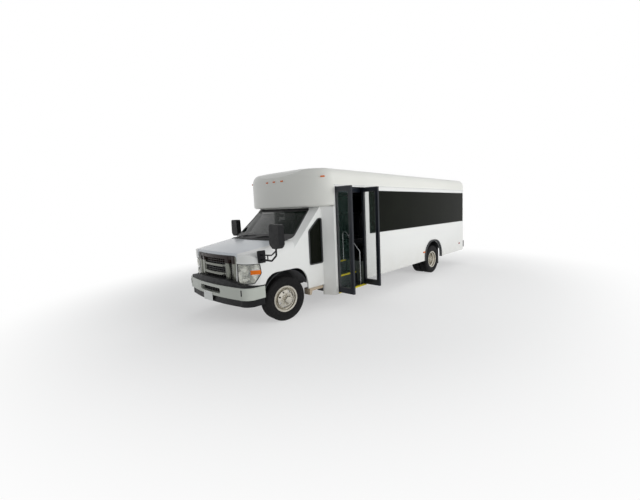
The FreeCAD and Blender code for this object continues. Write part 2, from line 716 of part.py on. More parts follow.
def make_headlamps():
    plan = nose_plan(6, CAB_LEFT_REAR_X, CAB_RIGHT_REAR_X, 600, 1300)
    back = nose_plan(90, CAB_LEFT_REAR_X, CAB_RIGHT_REAR_X, 590, 1310)
    lamp = plan.cut(back).common(headlamp_mask(-1))
    return Part.makeCompound(both_sides(lamp))


# Bumpers

def bumper_plan(inset, low_z, high_z, tip_x):
    """Bowed bar in plan, wrapped round to the fenders."""
    front = 3945 - inset
    half = 1000 - inset
    outer = [vec(tip_x, -half, low_z), vec(3720 - inset, -half, low_z), vec(3868 - inset, -800 + inset * 0.4, low_z),
             vec(front, 0, low_z), vec(3868 - inset, 800 - inset * 0.4, low_z), vec(3720 - inset, half, low_z),
             vec(tip_x, half, low_z)]
    edges = [Part.makeLine(outer[0], outer[1]),
             Part.Arc(outer[1], vec(3825 - inset, -935 + inset * 0.7, low_z), outer[2]).toShape(),
             Part.Arc(outer[2], outer[3], outer[4]).toShape(),
             Part.Arc(outer[4], vec(3825 - inset, 935 - inset * 0.7, low_z), outer[5]).toShape(),
             Part.makeLine(outer[5], outer[6]),
             Part.makeLine(outer[6], outer[0])]
    return Part.Face(Part.Wire(edges)).extrude(vec(0, 0, high_z - low_z))


def make_front_bumper():
    tip = 3525
    band = bumper_plan(0, 500, 690, tip).cut(bumper_plan(60, 499, 691, tip - 1))
    pad = bumper_plan(20, 690, 706, tip).cut(bumper_plan(150, 689, 707, tip - 1))
    valance = bumper_plan(25, 385, 500, tip).cut(bumper_plan(60, 384, 501, tip - 1))
    arch = prism("yz", [(-1010, 680), (1010, 680), (1010, 702), (0, 868, 3000), (-1010, 702)], 3500, 4000)
    crest = bumper_plan(20, 700, 790, tip).common(arch)
    crest = crest.cut(nose_plan(-5, CAB_LEFT_REAR_X, CAB_RIGHT_REAR_X, 690, 800))
    bar = fused([band, pad, crest, valance])
    slot = prism("yz", [(-330, 552, 30), (330, 552, 30), (330, 640, 30), (-330, 640, 30)], 3700, 4000)
    brackets = [box(FRONT_RAIL_END_X, 3890, y - 30, y + 30, 505, 565) for y in (-395, 395)]
    return fused([bar.cut([slot] + plate_holes(3920, FRONT_PLATE_Z, 1))] + brackets)


def make_rear_bumper():
    bar = prism("xy", [(REAR_WALL_X, -1190), (REAR_WALL_X, 1190), (REAR_WALL_X - 20, 1190, 15),
                       (REAR_WALL_X - 58, 1150, 40), (REAR_WALL_X - 58, -1150, 40), (REAR_WALL_X - 20, -1190, 15)],
                470, 684)
    return bar.cut(plate_holes(REAR_WALL_X - 58, REAR_PLATE_Z, -1))


# Lamps, mirrors, boards and trim

MARKER_Z = 2410.0
CORNER_LAMP_Z = 2440.0
CORNER_LAMP_TURN = 65.6
TAIL_LAMP_R = 50.0
TAIL_LAMP_Y = 1085.0
TAIL_LAMP_HEIGHTS = (820.0, 945.0, 1070.0)
SIDE_LAMP_Z = 625.0


def cap_point(turn, z):
    """Where the cap's oval passes at an angle from straight ahead, and the way that it faces there."""
    angle = math.radians(turn)
    place = vec(CAP_START_X + CAP_DEPTH * math.cos(angle), BODY_HALF * math.sin(angle), z)
    facing = math.degrees(math.atan2(math.sin(angle) / BODY_HALF, math.cos(angle) / CAP_DEPTH))
    return place, facing


def cap_lamp(turn, z, half_width):
    place, facing = cap_point(turn, z)
    lamp = box(-25, 16, -half_width, half_width, -12, 12)
    lamp = lamp.makeFillet(6, [edge for edge in lamp.Edges if edge.BoundBox.XMin > 15])
    lamp.rotate(vec(0, 0, 0), vec(0, 0, 1), facing)
    lamp.translate(place)
    return lamp


def make_marker_lamps():
    """Small lamps on the cap, the sides and the roof's rear edge, and the round tail lamps."""
    lamps = []
    for y in (-235, 0, 235):
        lamps.append(cap_lamp(math.degrees(math.asin(y / BODY_HALF)), MARKER_Z, 30))
    for side in (1, -1):
        lamps.append(cap_lamp(side * CORNER_LAMP_TURN, CORNER_LAMP_Z, 38))
    cap = cap_solid(0, CAP_BOTTOM_Z)
    lamps = [lamp.cut(cap) for lamp in lamps]
    for x in (REAR_AXLE_X + 480, -3574):
        lamps += both_sides(box(x - 45, x + 45, BODY_HALF, BODY_HALF + 14, SIDE_LAMP_Z - 16, SIDE_LAMP_Z + 16))
    rear = REAR_WALL_X
    for z in TAIL_LAMP_HEIGHTS:
        start = vec(rear, TAIL_LAMP_Y, z)
        lamps += both_sides(cylinder(TAIL_LAMP_R, start, start - vec(22, 0, 0)))
    for y in (-235, 0, 235, -1040, 1040):
        lamps.append(box(rear - 14, rear, y - 35, y + 35, MARKER_Z - 14, MARKER_Z + 14))
    return Part.makeCompound(lamps)


def mirror(base_x, base, arm_z, head_y, head_z, head_x):
    """Door or fender mirror on the left side: pad, ladder arm and the upright head with its drawn-in foot."""
    pad_y, pad_z, pad_half = base
    pad = prism("xz", [(base_x - pad_half, pad_z[0], 12), (base_x + pad_half - 12, pad_z[0], 12),
                       (base_x + pad_half, pad_z[1], 12), (base_x - pad_half, pad_z[1], 12)], pad_y, pad_y + 16)
    y0, y1 = head_y
    z0, z1 = head_z
    reach = (y0 + y1) / 2
    arms = []
    for offset, rise, radius in ((0, 0, 14), (70, 55, 11)):
        z = arm_z + offset
        arms.append(tube_path([vec(base_x, pad_y + 10, z), vec(base_x, reach - 150, z + rise * 0.3),
                               vec(base_x, reach - 30, z + 90), vec(base_x, reach - 30, z0 + 70 + rise)], radius, 40))
    rung_y = pad_y + 0.5 * (reach - 150 - pad_y) + 40
    rung = cylinder(9, vec(base_x, rung_y, arm_z - 4), vec(base_x, rung_y, arm_z + 84))
    head = prism("yz", [(y0 + 14, z1, 35), (y0, z0 + 60, 60), (y0 + 75, z0, 30), (y1 - 60, z0, 40), (y1, z0 + 60, 50),
                        (y1 - 8, z1, 40)], head_x[0], head_x[1])
    return fused([pad, rung, head] + arms)


def make_mirrors():
    return mirror(3567, (CAB_HALF, (1056, 1251), 71), 1110, (1310, 1545), (1305, 1660), (3515, 3620))


def make_door_mirror():
    return mirrored(mirror(2570, (CAB_HALF, (985, 1145), 50), 1030, (1290, 1520), (1325, 1680), (2520, 2622)))


def make_running_boards():
    left = prism("xz", [(2300, 400), (2300, 446), (2625, 446, 10), (2625, 330, 10), (2590, 330), (2560, 400)],
                 CAB_HALF - 120, CAB_HALF + 30)
    right = prism("xz", [(1700, 400), (1700, 446), (2625, 446, 10), (2625, 330, 10), (2590, 330), (2560, 400)],
                  -CAB_HALF - 30, -CAB_HALF + 120)
    return Part.makeCompound([left, right])


def make_arch_trim():
    pieces = []
    for side in (1, -1):
        ys = sorted((side * BODY_HALF, side * (BODY_HALF + 25)))
        ring = prism("xz", [(REAR_AXLE_X - 509, SKIRT_Z), (REAR_AXLE_X + 401, SKIRT_Z),
                            (REAR_AXLE_X + 401, 869, 400), (REAR_AXLE_X - 509, 869, 400)], *ys)
        outer = prism("xz", [(REAR_AXLE_X - 549, SKIRT_Z), (REAR_AXLE_X + 441, SKIRT_Z),
                             (REAR_AXLE_X + 441, 909, 430), (REAR_AXLE_X - 549, 909, 430)], *ys)
        pieces.append(outer.cut(ring))
        ys = sorted((side * 740, side * (BODY_HALF - WALL - 20)))
        pieces.append(box(REAR_AXLE_X - 480, REAR_AXLE_X - 470, ys[0], ys[1], 180, 690))
    return Part.makeCompound(pieces)


def make_wheel_liners():
    liners = []
    for side in (1, -1):
        ys = sorted((side * 560, side * (CAB_HALF - CAB_SHEET)))
        outer = cylinder(ARCH_R - 2, vec(FRONT_AXLE_X, ys[0], ARCH_Z), vec(FRONT_AXLE_X, ys[1], ARCH_Z))
        inner = cylinder(ARCH_R - 12, vec(FRONT_AXLE_X, side * 570, ARCH_Z), vec(FRONT_AXLE_X, side * CAB_HALF, ARCH_Z))
        below = box(FRONT_AXLE_X - ARCH_R, FRONT_AXLE_X + ARCH_R, ys[0], ys[1], ARCH_Z - ARCH_R, ARCH_Z + 190)
        ahead = box(FRONT_AXLE_X + 425, FRONT_AXLE_X + ARCH_R, ys[0], ys[1], ARCH_Z, ARCH_Z + 350)
        liners.append(outer.cut([inner, below, ahead]))
    return Part.makeCompound(liners)


# Chassis

def make_chassis_frame():
    """Two rails that step down under the cab, with cross members and body outriggers."""
    front_top = CAB_FLOOR_Z - CAB_FLOOR_THICK
    front_low = front_top - FRONT_RAIL_HEIGHT
    rear_low = RAIL_TOP_Z - RAIL_HEIGHT
    tail = REAR_WALL_X + WALL + 20
    members = []
    for side in (1, -1):
        ys = sorted((side * (FRAME_HALF - RAIL_WIDTH), side * FRAME_HALF))
        members.append(prism("xz", [(tail, rear_low), (1200, rear_low), (1500, front_low),
                                    (FRONT_RAIL_END_X, front_low), (FRONT_RAIL_END_X, front_top),
                                    (1500, front_top), (1200, RAIL_TOP_Z), (tail, RAIL_TOP_Z)], *ys))
        ys = sorted((side * 300, side * (FRAME_HALF - RAIL_WIDTH + 5)))
        pivot_x = FRONT_AXLE_X - side * BEAM_OFFSET
        members.append(box(pivot_x - 35, pivot_x + 35, ys[0], ys[1], BEAM_PIVOT_Z, front_top - 40))
    inner = FRAME_HALF - 10
    for x in (tail, TANK_REAR_X - 60, TANK_FRONT_X, REAR_AXLE_X + 740, 200, 1100):
        members.append(box(x, x + 60, -inner, inner, RAIL_TOP_Z - 110, RAIL_TOP_Z - 30))
    members.append(box(2250, 2330, -inner, inner, front_low - 45, front_low + 10))
    members.append(box(FRONT_RAIL_END_X - 60, FRONT_RAIL_END_X, -inner, inner, front_low + 10, front_top - 60))
    for x in (-3600, -2900, -800, 150, 1000):
        for side in (1, -1):
            ys = sorted((side * (FRAME_HALF - 5), side * (BODY_HALF - WALL)))
            if side == -1 or x + 60 < DOOR_REAR_X - 40:
                members.append(box(x, x + 60, ys[0], ys[1], RAIL_TOP_Z - 60, FLOOR_TOP_Z - FLOOR_THICK))
    return fused(members)


FOOTWELL_HALF = 540.0


def make_floor():
    under = FLOOR_TOP_Z - FLOOR_THICK
    inner = BODY_HALF - WALL
    main = box(REAR_WALL_X + WALL, DOOR_REAR_X, -inner, inner, under, FLOOR_TOP_Z)
    aisle = box(DOOR_REAR_X, CAB_RIGHT_REAR_X - WALL, -inner, BODY_HALF - 2 * STEP_DEPTH, under, FLOOR_TOP_Z)
    landing = box(CAB_RIGHT_REAR_X - WALL, BODY_FRONT_X, -120, BODY_HALF - 2 * STEP_DEPTH, under, FLOOR_TOP_Z)
    cab_low = CAB_FLOOR_Z - CAB_FLOOR_THICK
    cab_side = CAB_HALF - CAB_SHEET - SHUT_GAP
    cab = box(CAB_RIGHT_REAR_X - WALL, 2630, -cab_side, -120, cab_low, CAB_FLOOR_Z)
    cab_left = box(BODY_FRONT_X, 2630, -120, CAB_HALF - CAB_SHEET, cab_low, CAB_FLOOR_Z)
    toe = box(2630, 2860, -FOOTWELL_HALF, FOOTWELL_HALF, cab_low, CAB_FLOOR_Z)
    dash_wall = box(2830, 2860, -FOOTWELL_HALF, FOOTWELL_HALF, cab_low, 1000)
    riser = box(BODY_FRONT_X, BODY_FRONT_X + 30, -120, BODY_HALF - 2 * STEP_DEPTH, cab_low, FLOOR_TOP_Z)
    riser_side = box(CAB_RIGHT_REAR_X - WALL, BODY_FRONT_X + 30, -150, -120, cab_low, FLOOR_TOP_Z)
    riser_back = box(CAB_RIGHT_REAR_X - WALL - 30, CAB_RIGHT_REAR_X - WALL, -cab_side, -120,
                     cab_low, FLOOR_TOP_Z)
    cover = box(2480, 2860, -340, 340, CAB_FLOOR_Z, 1000)
    slab = fused([main, aisle, landing, cab, cab_left, toe, dash_wall, riser, riser_side, riser_back, cover])
    slab = slab.cut(box(2510, 2861, -310, 310, cab_low - 5, 970))
    wells = []
    for side in (1, -1):
        ys = sorted((side * 700, side * inner))
        slab = slab.cut(box(REAR_AXLE_X - 480, REAR_AXLE_X + 400, ys[0], ys[1], under - TINY, FLOOR_TOP_Z + TINY))
        outer = box(REAR_AXLE_X - 480, REAR_AXLE_X + 400, ys[0], ys[1], under, WHEEL_BOX_TOP_Z)
        ys_in = sorted((side * 720, side * (inner + 10)))
        hollow = box(REAR_AXLE_X - 460, REAR_AXLE_X + 380, ys_in[0], ys_in[1], under - TINY, WHEEL_BOX_TOP_Z - 20)
        wells.append(outer.cut(hollow))
    return fused([slab] + wells)


def make_entry_steps():
    """Three treads folded from sheet, with the side walls of the step well."""
    top = BODY_HALF - 2 * STEP_DEPTH
    rise = (FLOOR_TOP_Z - STEP_LOW_Z) / 2
    outer_y = BODY_HALF - 4
    s = STEP_SHEET
    under = FLOOR_TOP_Z - FLOOR_THICK
    profile = [(outer_y, STEP_LOW_Z), (outer_y, STEP_LOW_Z - s), (BODY_HALF - STEP_DEPTH - s, STEP_LOW_Z - s),
               (BODY_HALF - STEP_DEPTH - s, STEP_LOW_Z + rise - s), (top - s, STEP_LOW_Z + rise - s),
               (top - s, under), (top, under), (top, STEP_LOW_Z + rise),
               (BODY_HALF - STEP_DEPTH, STEP_LOW_Z + rise), (BODY_HALF - STEP_DEPTH, STEP_LOW_Z)]
    treads = prism("yz", profile, DOOR_REAR_X, DOOR_FRONT_X)
    sides = []
    for x in (DOOR_REAR_X - 20, DOOR_FRONT_X):
        sides.append(box(x, x + 20, top - s, BODY_HALF - WALL, STEP_LOW_Z - s, under))
    bores = [leaf_pin(leaf_axis_x(front), STEP_LOW_Z - LEAF_PIN_SEAT - 1, STEP_LOW_Z + 5, RUNNING_FIT)
             for front in (True, False)]
    return fused([treads] + sides).cut(bores)


# Axles

def make_front_axle():
    """Twin beams that cross under the engine and end at the kingpins."""
    beams = []
    for side in (1, -1):
        offset = side * BEAM_OFFSET
        beam = prism("yz", [(-side * 345, 360), (-side * 345, BEAM_PIVOT_Z), (-side * 280, BEAM_PIVOT_Z),
                            (side * 560, 408), (side * 660, 404), (side * 660, 340), (side * 560, 338),
                            (-side * 280, 360)],
                     FRONT_AXLE_X + offset - 35, FRONT_AXLE_X + offset + 35)
        kingpin = vec(FRONT_AXLE_X, side * KINGPIN_Y, TYRE_R)
        eye = cylinder(48, kingpin - vec(0, 0, EYE_HALF), kingpin + vec(0, 0, EYE_HALF))
        link = prism("xy", [(FRONT_AXLE_X + offset - 35, side * 640), (FRONT_AXLE_X + offset + 35, side * 640),
                            (FRONT_AXLE_X + 40, side * KINGPIN_Y), (FRONT_AXLE_X - 40, side * KINGPIN_Y)],
                     TYRE_R - EYE_HALF, TYRE_R + EYE_HALF)
        bore = cylinder(PIN_R + RUNNING_FIT, kingpin - vec(0, 0, 200), kingpin + vec(0, 0, 200))
        beams.append(fused([beam, eye, link]).cut(bore))
    return Part.makeCompound(beams)


def make_rear_axle():
    end_y = REAR_OUTER_Y - 60
    tube = cylinder(REAR_SPINDLE_R, vec(REAR_AXLE_X, -end_y, TYRE_R), vec(REAR_AXLE_X, end_y, TYRE_R))
    diff = Part.makeSphere(175, vec(REAR_AXLE_X, 0, TYRE_R))
    nose = cylinder(70, vec(REAR_AXLE_X, 0, TYRE_R), vec(REAR_AXLE_X + 330, 0, TYRE_R + 20))
    shaft = cylinder(45, vec(REAR_AXLE_X + 300, 0, TYRE_R + 18), vec(GEARBOX_REAR_X, 0, 520))
    shaft = shaft.cut(box(GEARBOX_REAR_X, GEARBOX_REAR_X + 50, -60, 60, 450, 590))
    springs = []
    for side in (1, -1):
        y = side * 520
        spring = prism("xz", [(REAR_AXLE_X - 680, 560, 20), (REAR_AXLE_X, 425, 900), (REAR_AXLE_X + 680, 560, 20),
                              (REAR_AXLE_X + 680, 600, 20), (REAR_AXLE_X, 485, 900), (REAR_AXLE_X - 680, 600, 20)],
                       y - 38, y + 38)
        hangers = [box(x - 30, x + 30, min(side * 430, side * 558), max(side * 430, side * 558), 550, 640)
                   for x in (REAR_AXLE_X - 660, REAR_AXLE_X + 660)]
        pad = box(REAR_AXLE_X - 70, REAR_AXLE_X + 70, y - 45, y + 45, TYRE_R, 520)
        springs += [spring, pad] + hangers
    return fused([tube, diff, nose, shaft] + springs)


GEARBOX_REAR_X = 1956.0


def make_engine_block():
    engine = box(2560, 3560, -285, 285, 440, 960)
    gearbox = box(GEARBOX_REAR_X, 2560, -130, 130, 466, 578)
    radiator = box(3672, 3732, -340, 340, 600, 1080)
    carrier = box(3672, 3732, -425, 425, 565, 600)
    return Part.makeCompound([fused([engine, gearbox]), fused([radiator, carrier])])


def make_fuel_tank():
    tank = prism("xz", [(TANK_REAR_X, 420, 60), (TANK_FRONT_X, 420, 60), (TANK_FRONT_X, 640),
                        (TANK_REAR_X, 640)], -350, 350)
    return tank


# Wheels

def wheel_outline(face, hub, bore_r, way):
    """Half section of rim, dished disc and hub as (radius, along) points.

    face is how far the disc's hub face lies from the rim's middle, hub is the hub's inner end,
    outer end and radius, and way is +1 or -1 for the side that the disc bulges to.
    """
    w = RIM_WIDTH / 2
    s = RIM_SHEET
    hub_in, hub_out, hub_r = hub
    outline = [(RIM_FLANGE_R, -w), (RIM_FLANGE_R, -w + s), (RIM_SEAT_R, -w + s + 4), (RIM_SEAT_R, -50),
               (180, -36), (180, 36), (RIM_SEAT_R, 50), (RIM_SEAT_R, w - s - 4), (RIM_FLANGE_R, w - s),
               (RIM_FLANGE_R, w), (RIM_SEAT_R - s, w - 4), (RIM_SEAT_R - s, 46), (172, 32),
               (172, 24), (152, face * 0.74), (110, face), (hub_r, face), (hub_r, hub_out), (bore_r, hub_out),
               (bore_r, hub_in), (hub_r, hub_in), (hub_r, face - 14), (104, face - 14), (142, face * 0.74 - 13),
               (172, 8), (172, -32), (RIM_SEAT_R - s, -46), (RIM_SEAT_R - s, -w + 4)]
    kept = []
    for radius, along in outline:
        point = (radius, way * along)
        if point not in kept:
            kept.append(point)
    return kept


TYRE_FLATS = 40


def tyre_outline():
    """Half section of the tyre as (radius, along) points with its shoulders rounded."""
    w = TYRE_WIDTH / 2
    inner = RIM_SEAT_R + 0.3
    seat = RIM_WIDTH / 2 - RIM_SHEET - 4
    half = [(inner, seat - 2), (inner + 20, seat + 2), (RIM_FLANGE_R + 60, w), (TYRE_R - 55, w - 4),
            (TYRE_R - 10, w - 18), (TYRE_R, w - 36)]
    return [(radius, -along) for radius, along in half] + list(reversed(half))


def make_tyre(x, y):
    """The tyre turned in flats that touch its true circles, to keep six tyres light."""
    outline = tyre_outline()
    step = math.tau / TYRE_FLATS
    stretch = 1 / math.cos(step / 2)
    rings = []
    for i in range(TYRE_FLATS):
        across, up = math.cos((i + 0.5) * step) * stretch, math.sin((i + 0.5) * step) * stretch
        rings.append([vec(x + radius * across, y + along, TYRE_R + radius * up) for radius, along in outline])
    faces = []
    for here, there in zip(rings, rings[1:] + rings[:1]):
        for k in range(len(outline)):
            corners = [here[k - 1], here[k], there[k], there[k - 1]]
            faces.append(Part.Face(Part.makePolygon(corners + corners[:1])))
    tyre = Part.Solid(Part.Shell(faces))
    if tyre.Volume < 0:
        tyre.reverse()
    return tyre


HAND_HOLE_PCR = 131.0
HAND_HOLE_R = 15.0


def make_wheel(x, y, face, hub, bore_r, way):
    """Rim, disc and hub turned in one, with the round hand holes."""
    wheel = turned(wheel_outline(face, hub, bore_r, way), vec(x, y, TYRE_R))
    holes = []
    for i in range(8):
        angle = math.radians(45 * i + 22.5)
        spot = vec(x + HAND_HOLE_PCR * math.cos(angle), y, TYRE_R + HAND_HOLE_PCR * math.sin(angle))
        holes.append(cylinder(HAND_HOLE_R, spot - vec(0, 150, 0), spot + vec(0, 150, 0)))
    return wheel.cut(holes)


def steered(shape, side):
    """Turn what the kingpin carries to the angle it stands at."""
    turned_shape = shape.copy()
    turned_shape.rotate(vec(FRONT_AXLE_X, side * KINGPIN_Y, 0), vec(0, 0, 1), STEER_AT_REST)
    return turned_shape


FRONT_WHEEL_Y = FRONT_TRACK / 2
FRONT_FACE = 120.0
ARM_LENGTH = 150.0


def make_knuckle(side):
    y = side * KINGPIN_Y
    pin = cylinder(PIN_R, vec(FRONT_AXLE_X, y, TYRE_R - 95), vec(FRONT_AXLE_X, y, TYRE_R + 95))
    plate_y = side * (KINGPIN_Y + 58)
    face_y = side * (KINGPIN_Y + 85)
    spindle = cylinder(SPINDLE_R, vec(FRONT_AXLE_X, plate_y, TYRE_R),
                       vec(FRONT_AXLE_X, side * (FRONT_WHEEL_Y + FRONT_FACE + 35), TYRE_R))
    ys = sorted((plate_y, face_y))
    plate = box(FRONT_AXLE_X - 55, FRONT_AXLE_X + 55, ys[0], ys[1], TYRE_R - 90, TYRE_R + 90)
    ys = sorted((y - side * 30, plate_y))
    lugs = []
    for z in (TYRE_R - 90, TYRE_R + EYE_HALF + 6):
        lugs.append(box(FRONT_AXLE_X - 38, FRONT_AXLE_X + 38, ys[0], ys[1], z, z + 52))
    arm = box(FRONT_AXLE_X - ARM_LENGTH - 25, FRONT_AXLE_X, y - 18, y + 18, TYRE_R - 90, TYRE_R - 65)
    eye = cylinder(9.5, vec(FRONT_AXLE_X - ARM_LENGTH, y, TYRE_R - 130), vec(FRONT_AXLE_X - ARM_LENGTH, y, TYRE_R - 80))
    return steered(fused([pin, spindle, plate, arm, eye] + lugs), side)


def make_tie_rod():
    """Track rod between the arms of the two knuckles."""
    angle = math.radians(STEER_AT_REST)
    back = FRONT_AXLE_X - ARM_LENGTH * math.cos(angle)
    shift = -ARM_LENGTH * math.sin(angle)
    z = TYRE_R - 113
    rod = cylinder(12, vec(back, -KINGPIN_Y + shift, z), vec(back, KINGPIN_Y + shift, z))
    ends = []
    bores = []
    for side in (1, -1):
        low = vec(back, side * KINGPIN_Y + shift, z - 17)
        ends.append(cylinder(20, low, low + vec(0, 0, 34)))
        bores.append(cylinder(10, low - vec(0, 0, 5), low + vec(0, 0, 44)))
    return fused([rod] + ends).cut(bores)


# Inside

STEERING_TILT = 55.0
STEERING_HUB = (2505.0, -480.0, 1190.0)


DASH_RIGHT = 930.0


def make_dashboard():
    face = prism("xz", [(2640, 1010, 40), (2600, 1180, 60), (2690, 1300, 40), (2880, 1300), (2880, 1010)],
                 -DASH_RIGHT, CAB_HALF)
    inset = CAB_SHEET + SHUT_GAP
    low = face.common(nose_solid(inset, CAB_LEFT_REAR_X, CAB_RIGHT_REAR_X))
    high = face.common(glasshouse(inset))
    hub = vec(*STEERING_HUB)
    tilt = math.radians(STEERING_TILT)
    way = vec(math.sin(tilt), 0, -math.cos(tilt))
    column = cylinder(30, hub + way * 25.5, hub + way * 200)
    console = box(2690, 2850, -300, 300, 1000, 1030)
    return fused([low, high, console, column])


def make_steering_wheel():
    centre = vec(*STEERING_HUB)
    section = [centre + vec(190 + 15 * math.cos(math.radians(a)), 0, 15 * math.sin(math.radians(a)))
               for a in range(0, 360, 45)]
    rim = Part.Face(Part.makePolygon(section + section[:1])).revolve(centre, vec(0, 0, 1), 360)
    hub = Part.makeCylinder(45, 40, centre - vec(0, 0, 25))
    spokes = [box(centre.x - 185, centre.x + 185, centre.y - 14, centre.y + 14, centre.z - 8, centre.z + 8)]
    wheel = fused([rim, hub] + spokes)
    wheel.rotate(centre, vec(0, 1, 0), -STEERING_TILT)
    return wheel


def seat(x, y, width, base_z, leg, foot):
    """High-backed seat facing forward; foot is the pedestal's span across the vehicle."""
    cushion = box(x - 230, x + 230, y - width / 2, y + width / 2, base_z + leg, base_z + leg + 120)
    back = prism("xz", [(x - 230, base_z + leg + 60), (x - 120, base_z + leg + 60, 30),
                        (x - 230, base_z + leg + 720, 40), (x - 330, base_z + leg + 720, 40)],
                 y - width / 2, y + width / 2)
    pedestal = box(x - 120, x + 120, foot[0], foot[1], base_z, base_z + leg + 10)
    return fused([cushion, back, pedestal])


def make_driver_seat():
    return seat(2130, -520, 520, CAB_FLOOR_Z, 300, (-650, -390))


SEAT_FIRST_X = -3300.0
SEAT_PITCH = 760.0
SEAT_ROWS = 7
WHEEL_BOX_TOP_Z = 930.0


def make_passenger_seats():
    """Double seats on both sides of the aisle; one row each side stands on the wheel boxes."""
    rows = []
    for i in range(SEAT_ROWS):
        x = SEAT_FIRST_X + i * SEAT_PITCH
        for side in (1, -1):
            if side == 1 and x + 230 > DOOR_REAR_X - 100:
                continue
            on_box = abs(x - REAR_AXLE_X) < SEAT_PITCH / 2
            base = WHEEL_BOX_TOP_Z if on_box else FLOOR_TOP_Z
            leg = 120 if on_box else 260
            foot = sorted((side * 720, side * 980)) if on_box else sorted((side * 505, side * 935))
            rows.append(seat(x, side * 720, 860, base, leg, foot))
    return Part.makeCompound(rows)


RAIL_R = 16.0


def make_grab_rails():
    """Rails beside both leaves, from the upper floor down to the low tread."""
    rails = []
    for x in (DOOR_REAR_X + 65, DOOR_FRONT_X - 40):
        rails.append(tube_path([vec(x, 650, FLOOR_TOP_Z), vec(x, 650, 1450), vec(x, 1110, 960), vec(x, 1110, STEP_LOW_Z)],
                               RAIL_R, 60))
    return Part.makeCompound(rails)


# Doors of the entry

LEAF_AXIS_Y = BODY_HALF - LEAF_THICK / 2
LEAF_LENGTH = (leaf_axis_x(True) - leaf_axis_x(False) - LEAF_MEETING_GAP) / 2
LEAF_LOW_Z = STEP_LOW_Z + 7
LEAF_TOP_Z = DOOR_TOP_Z - 7


def leaf_window(axis_x, side_gap):
    low = LEAF_AXIS_Y + LEAF_FRAME - LEAF_THICK / 2
    high = LEAF_AXIS_Y + LEAF_LENGTH - LEAF_FRAME
    return prism("yz", [(low, LEAF_LOW_Z + 95, 45), (high, LEAF_LOW_Z + 95, 45), (high, LEAF_TOP_Z - 75, 45),
                        (low, LEAF_TOP_Z - 75, 45)], axis_x - side_gap, axis_x + side_gap)


def make_entry_leaf(front):
    """One leaf, standing open square to the body, with a half-round hinge edge."""
    x = leaf_axis_x(front)
    r = LEAF_THICK / 2
    slab = box(x - r, x + r, LEAF_AXIS_Y, LEAF_AXIS_Y + LEAF_LENGTH, LEAF_LOW_Z, LEAF_TOP_Z)
    edge = cylinder(r, vec(x, LEAF_AXIS_Y, LEAF_LOW_Z), vec(x, LEAF_AXIS_Y, LEAF_TOP_Z))
    pins = [leaf_pin(x, STEP_LOW_Z - LEAF_PIN_SEAT, LEAF_LOW_Z, 0),
            leaf_pin(x, LEAF_TOP_Z, DOOR_TOP_Z + LEAF_PIN_SEAT, 0)]
    return fused([slab, edge] + pins).cut(leaf_window(x, r + 5))


def make_entry_glass(front):
    return leaf_window(leaf_axis_x(front), GLASS / 2)


def front_wheel(side):
    y = side * FRONT_WHEEL_Y
    hub = (FRONT_FACE - 50, FRONT_FACE + 45, 62)
    return steered(make_wheel(FRONT_AXLE_X, y, FRONT_FACE, hub, SPINDLE_R + RUNNING_FIT, side), side)


def front_tyre(side):
    return steered(make_tyre(FRONT_AXLE_X, side * FRONT_WHEEL_Y), side)


def rear_wheels(side):
    face = (REAR_OUTER_Y - REAR_INNER_Y) / 2
    bore_r = REAR_SPINDLE_R + RUNNING_FIT
    inner = make_wheel(REAR_AXLE_X, side * REAR_INNER_Y, face, (face - 60, face, 95), bore_r, side)
    outer = make_wheel(REAR_AXLE_X, side * REAR_OUTER_Y, face, (face - 85, face, 95), bore_r, -side)
    return fused([inner, outer])


def rear_tyres(side):
    return Part.makeCompound([make_tyre(REAR_AXLE_X, side * REAR_INNER_Y), make_tyre(REAR_AXLE_X, side * REAR_OUTER_Y)])


PIECES = {
    "chassis_frame": make_chassis_frame,
    "floor": make_floor,
    "entry_steps": make_entry_steps,
    "left_side_wall": make_left_side_wall,
    "right_side_wall": make_right_side_wall,
    "rear_wall": make_rear_wall,
    "roof": make_roof,
    "front_cap": make_front_cap,
    "cab_shell": make_cab_shell,
    "hood": make_hood,
    "grille": make_grille,
    "headlamps": make_headlamps,
    "front_bumper": make_front_bumper,
    "windscreen": make_windscreen,
    "window_frames": make_window_frames,
    "side_windows": make_side_windows,
    "rear_bumper": make_rear_bumper,
    "marker_lamps": make_marker_lamps,
    "mirrors": make_mirrors,
    "door_mirror": make_door_mirror,
    "running_boards": make_running_boards,
    "arch_trim": make_arch_trim,
    "wheel_liners": make_wheel_liners,
    "front_axle": make_front_axle,
    "rear_axle": make_rear_axle,
    "engine_block": make_engine_block,
    "fuel_tank": make_fuel_tank,
    "dashboard": make_dashboard,
    "steering_wheel": make_steering_wheel,
    "driver_seat": make_driver_seat,
    "passenger_seats": make_passenger_seats,
    "grab_rails": make_grab_rails,
    "driver_door": make_driver_door,
    "driver_door_glass": make_driver_door_glass,
    "entry_leaf_front": lambda: make_entry_leaf(True),
    "entry_glass_front": lambda: make_entry_glass(True),
    "entry_leaf_rear": lambda: make_entry_leaf(False),
    "entry_glass_rear": lambda: make_entry_glass(False),
    "rear_exit_door": make_rear_exit_door,
    "rear_exit_glass": make_rear_exit_glass,
    "knuckle_left": lambda: make_knuckle(1),
    "knuckle_right": lambda: make_knuckle(-1),
    "tie_rod": make_tie_rod,
    "front_wheel_left": lambda: front_wheel(1),
    "front_tyre_left": lambda: front_tyre(1),
    "front_wheel_right": lambda: front_wheel(-1),
    "front_tyre_right": lambda: front_tyre(-1),
    "rear_wheels_left": lambda: rear_wheels(1),
    "rear_tyres_left": lambda: rear_tyres(1),
    "rear_wheels_right": lambda: rear_wheels(-1),
    "rear_tyres_right": lambda: rear_tyres(-1),
}

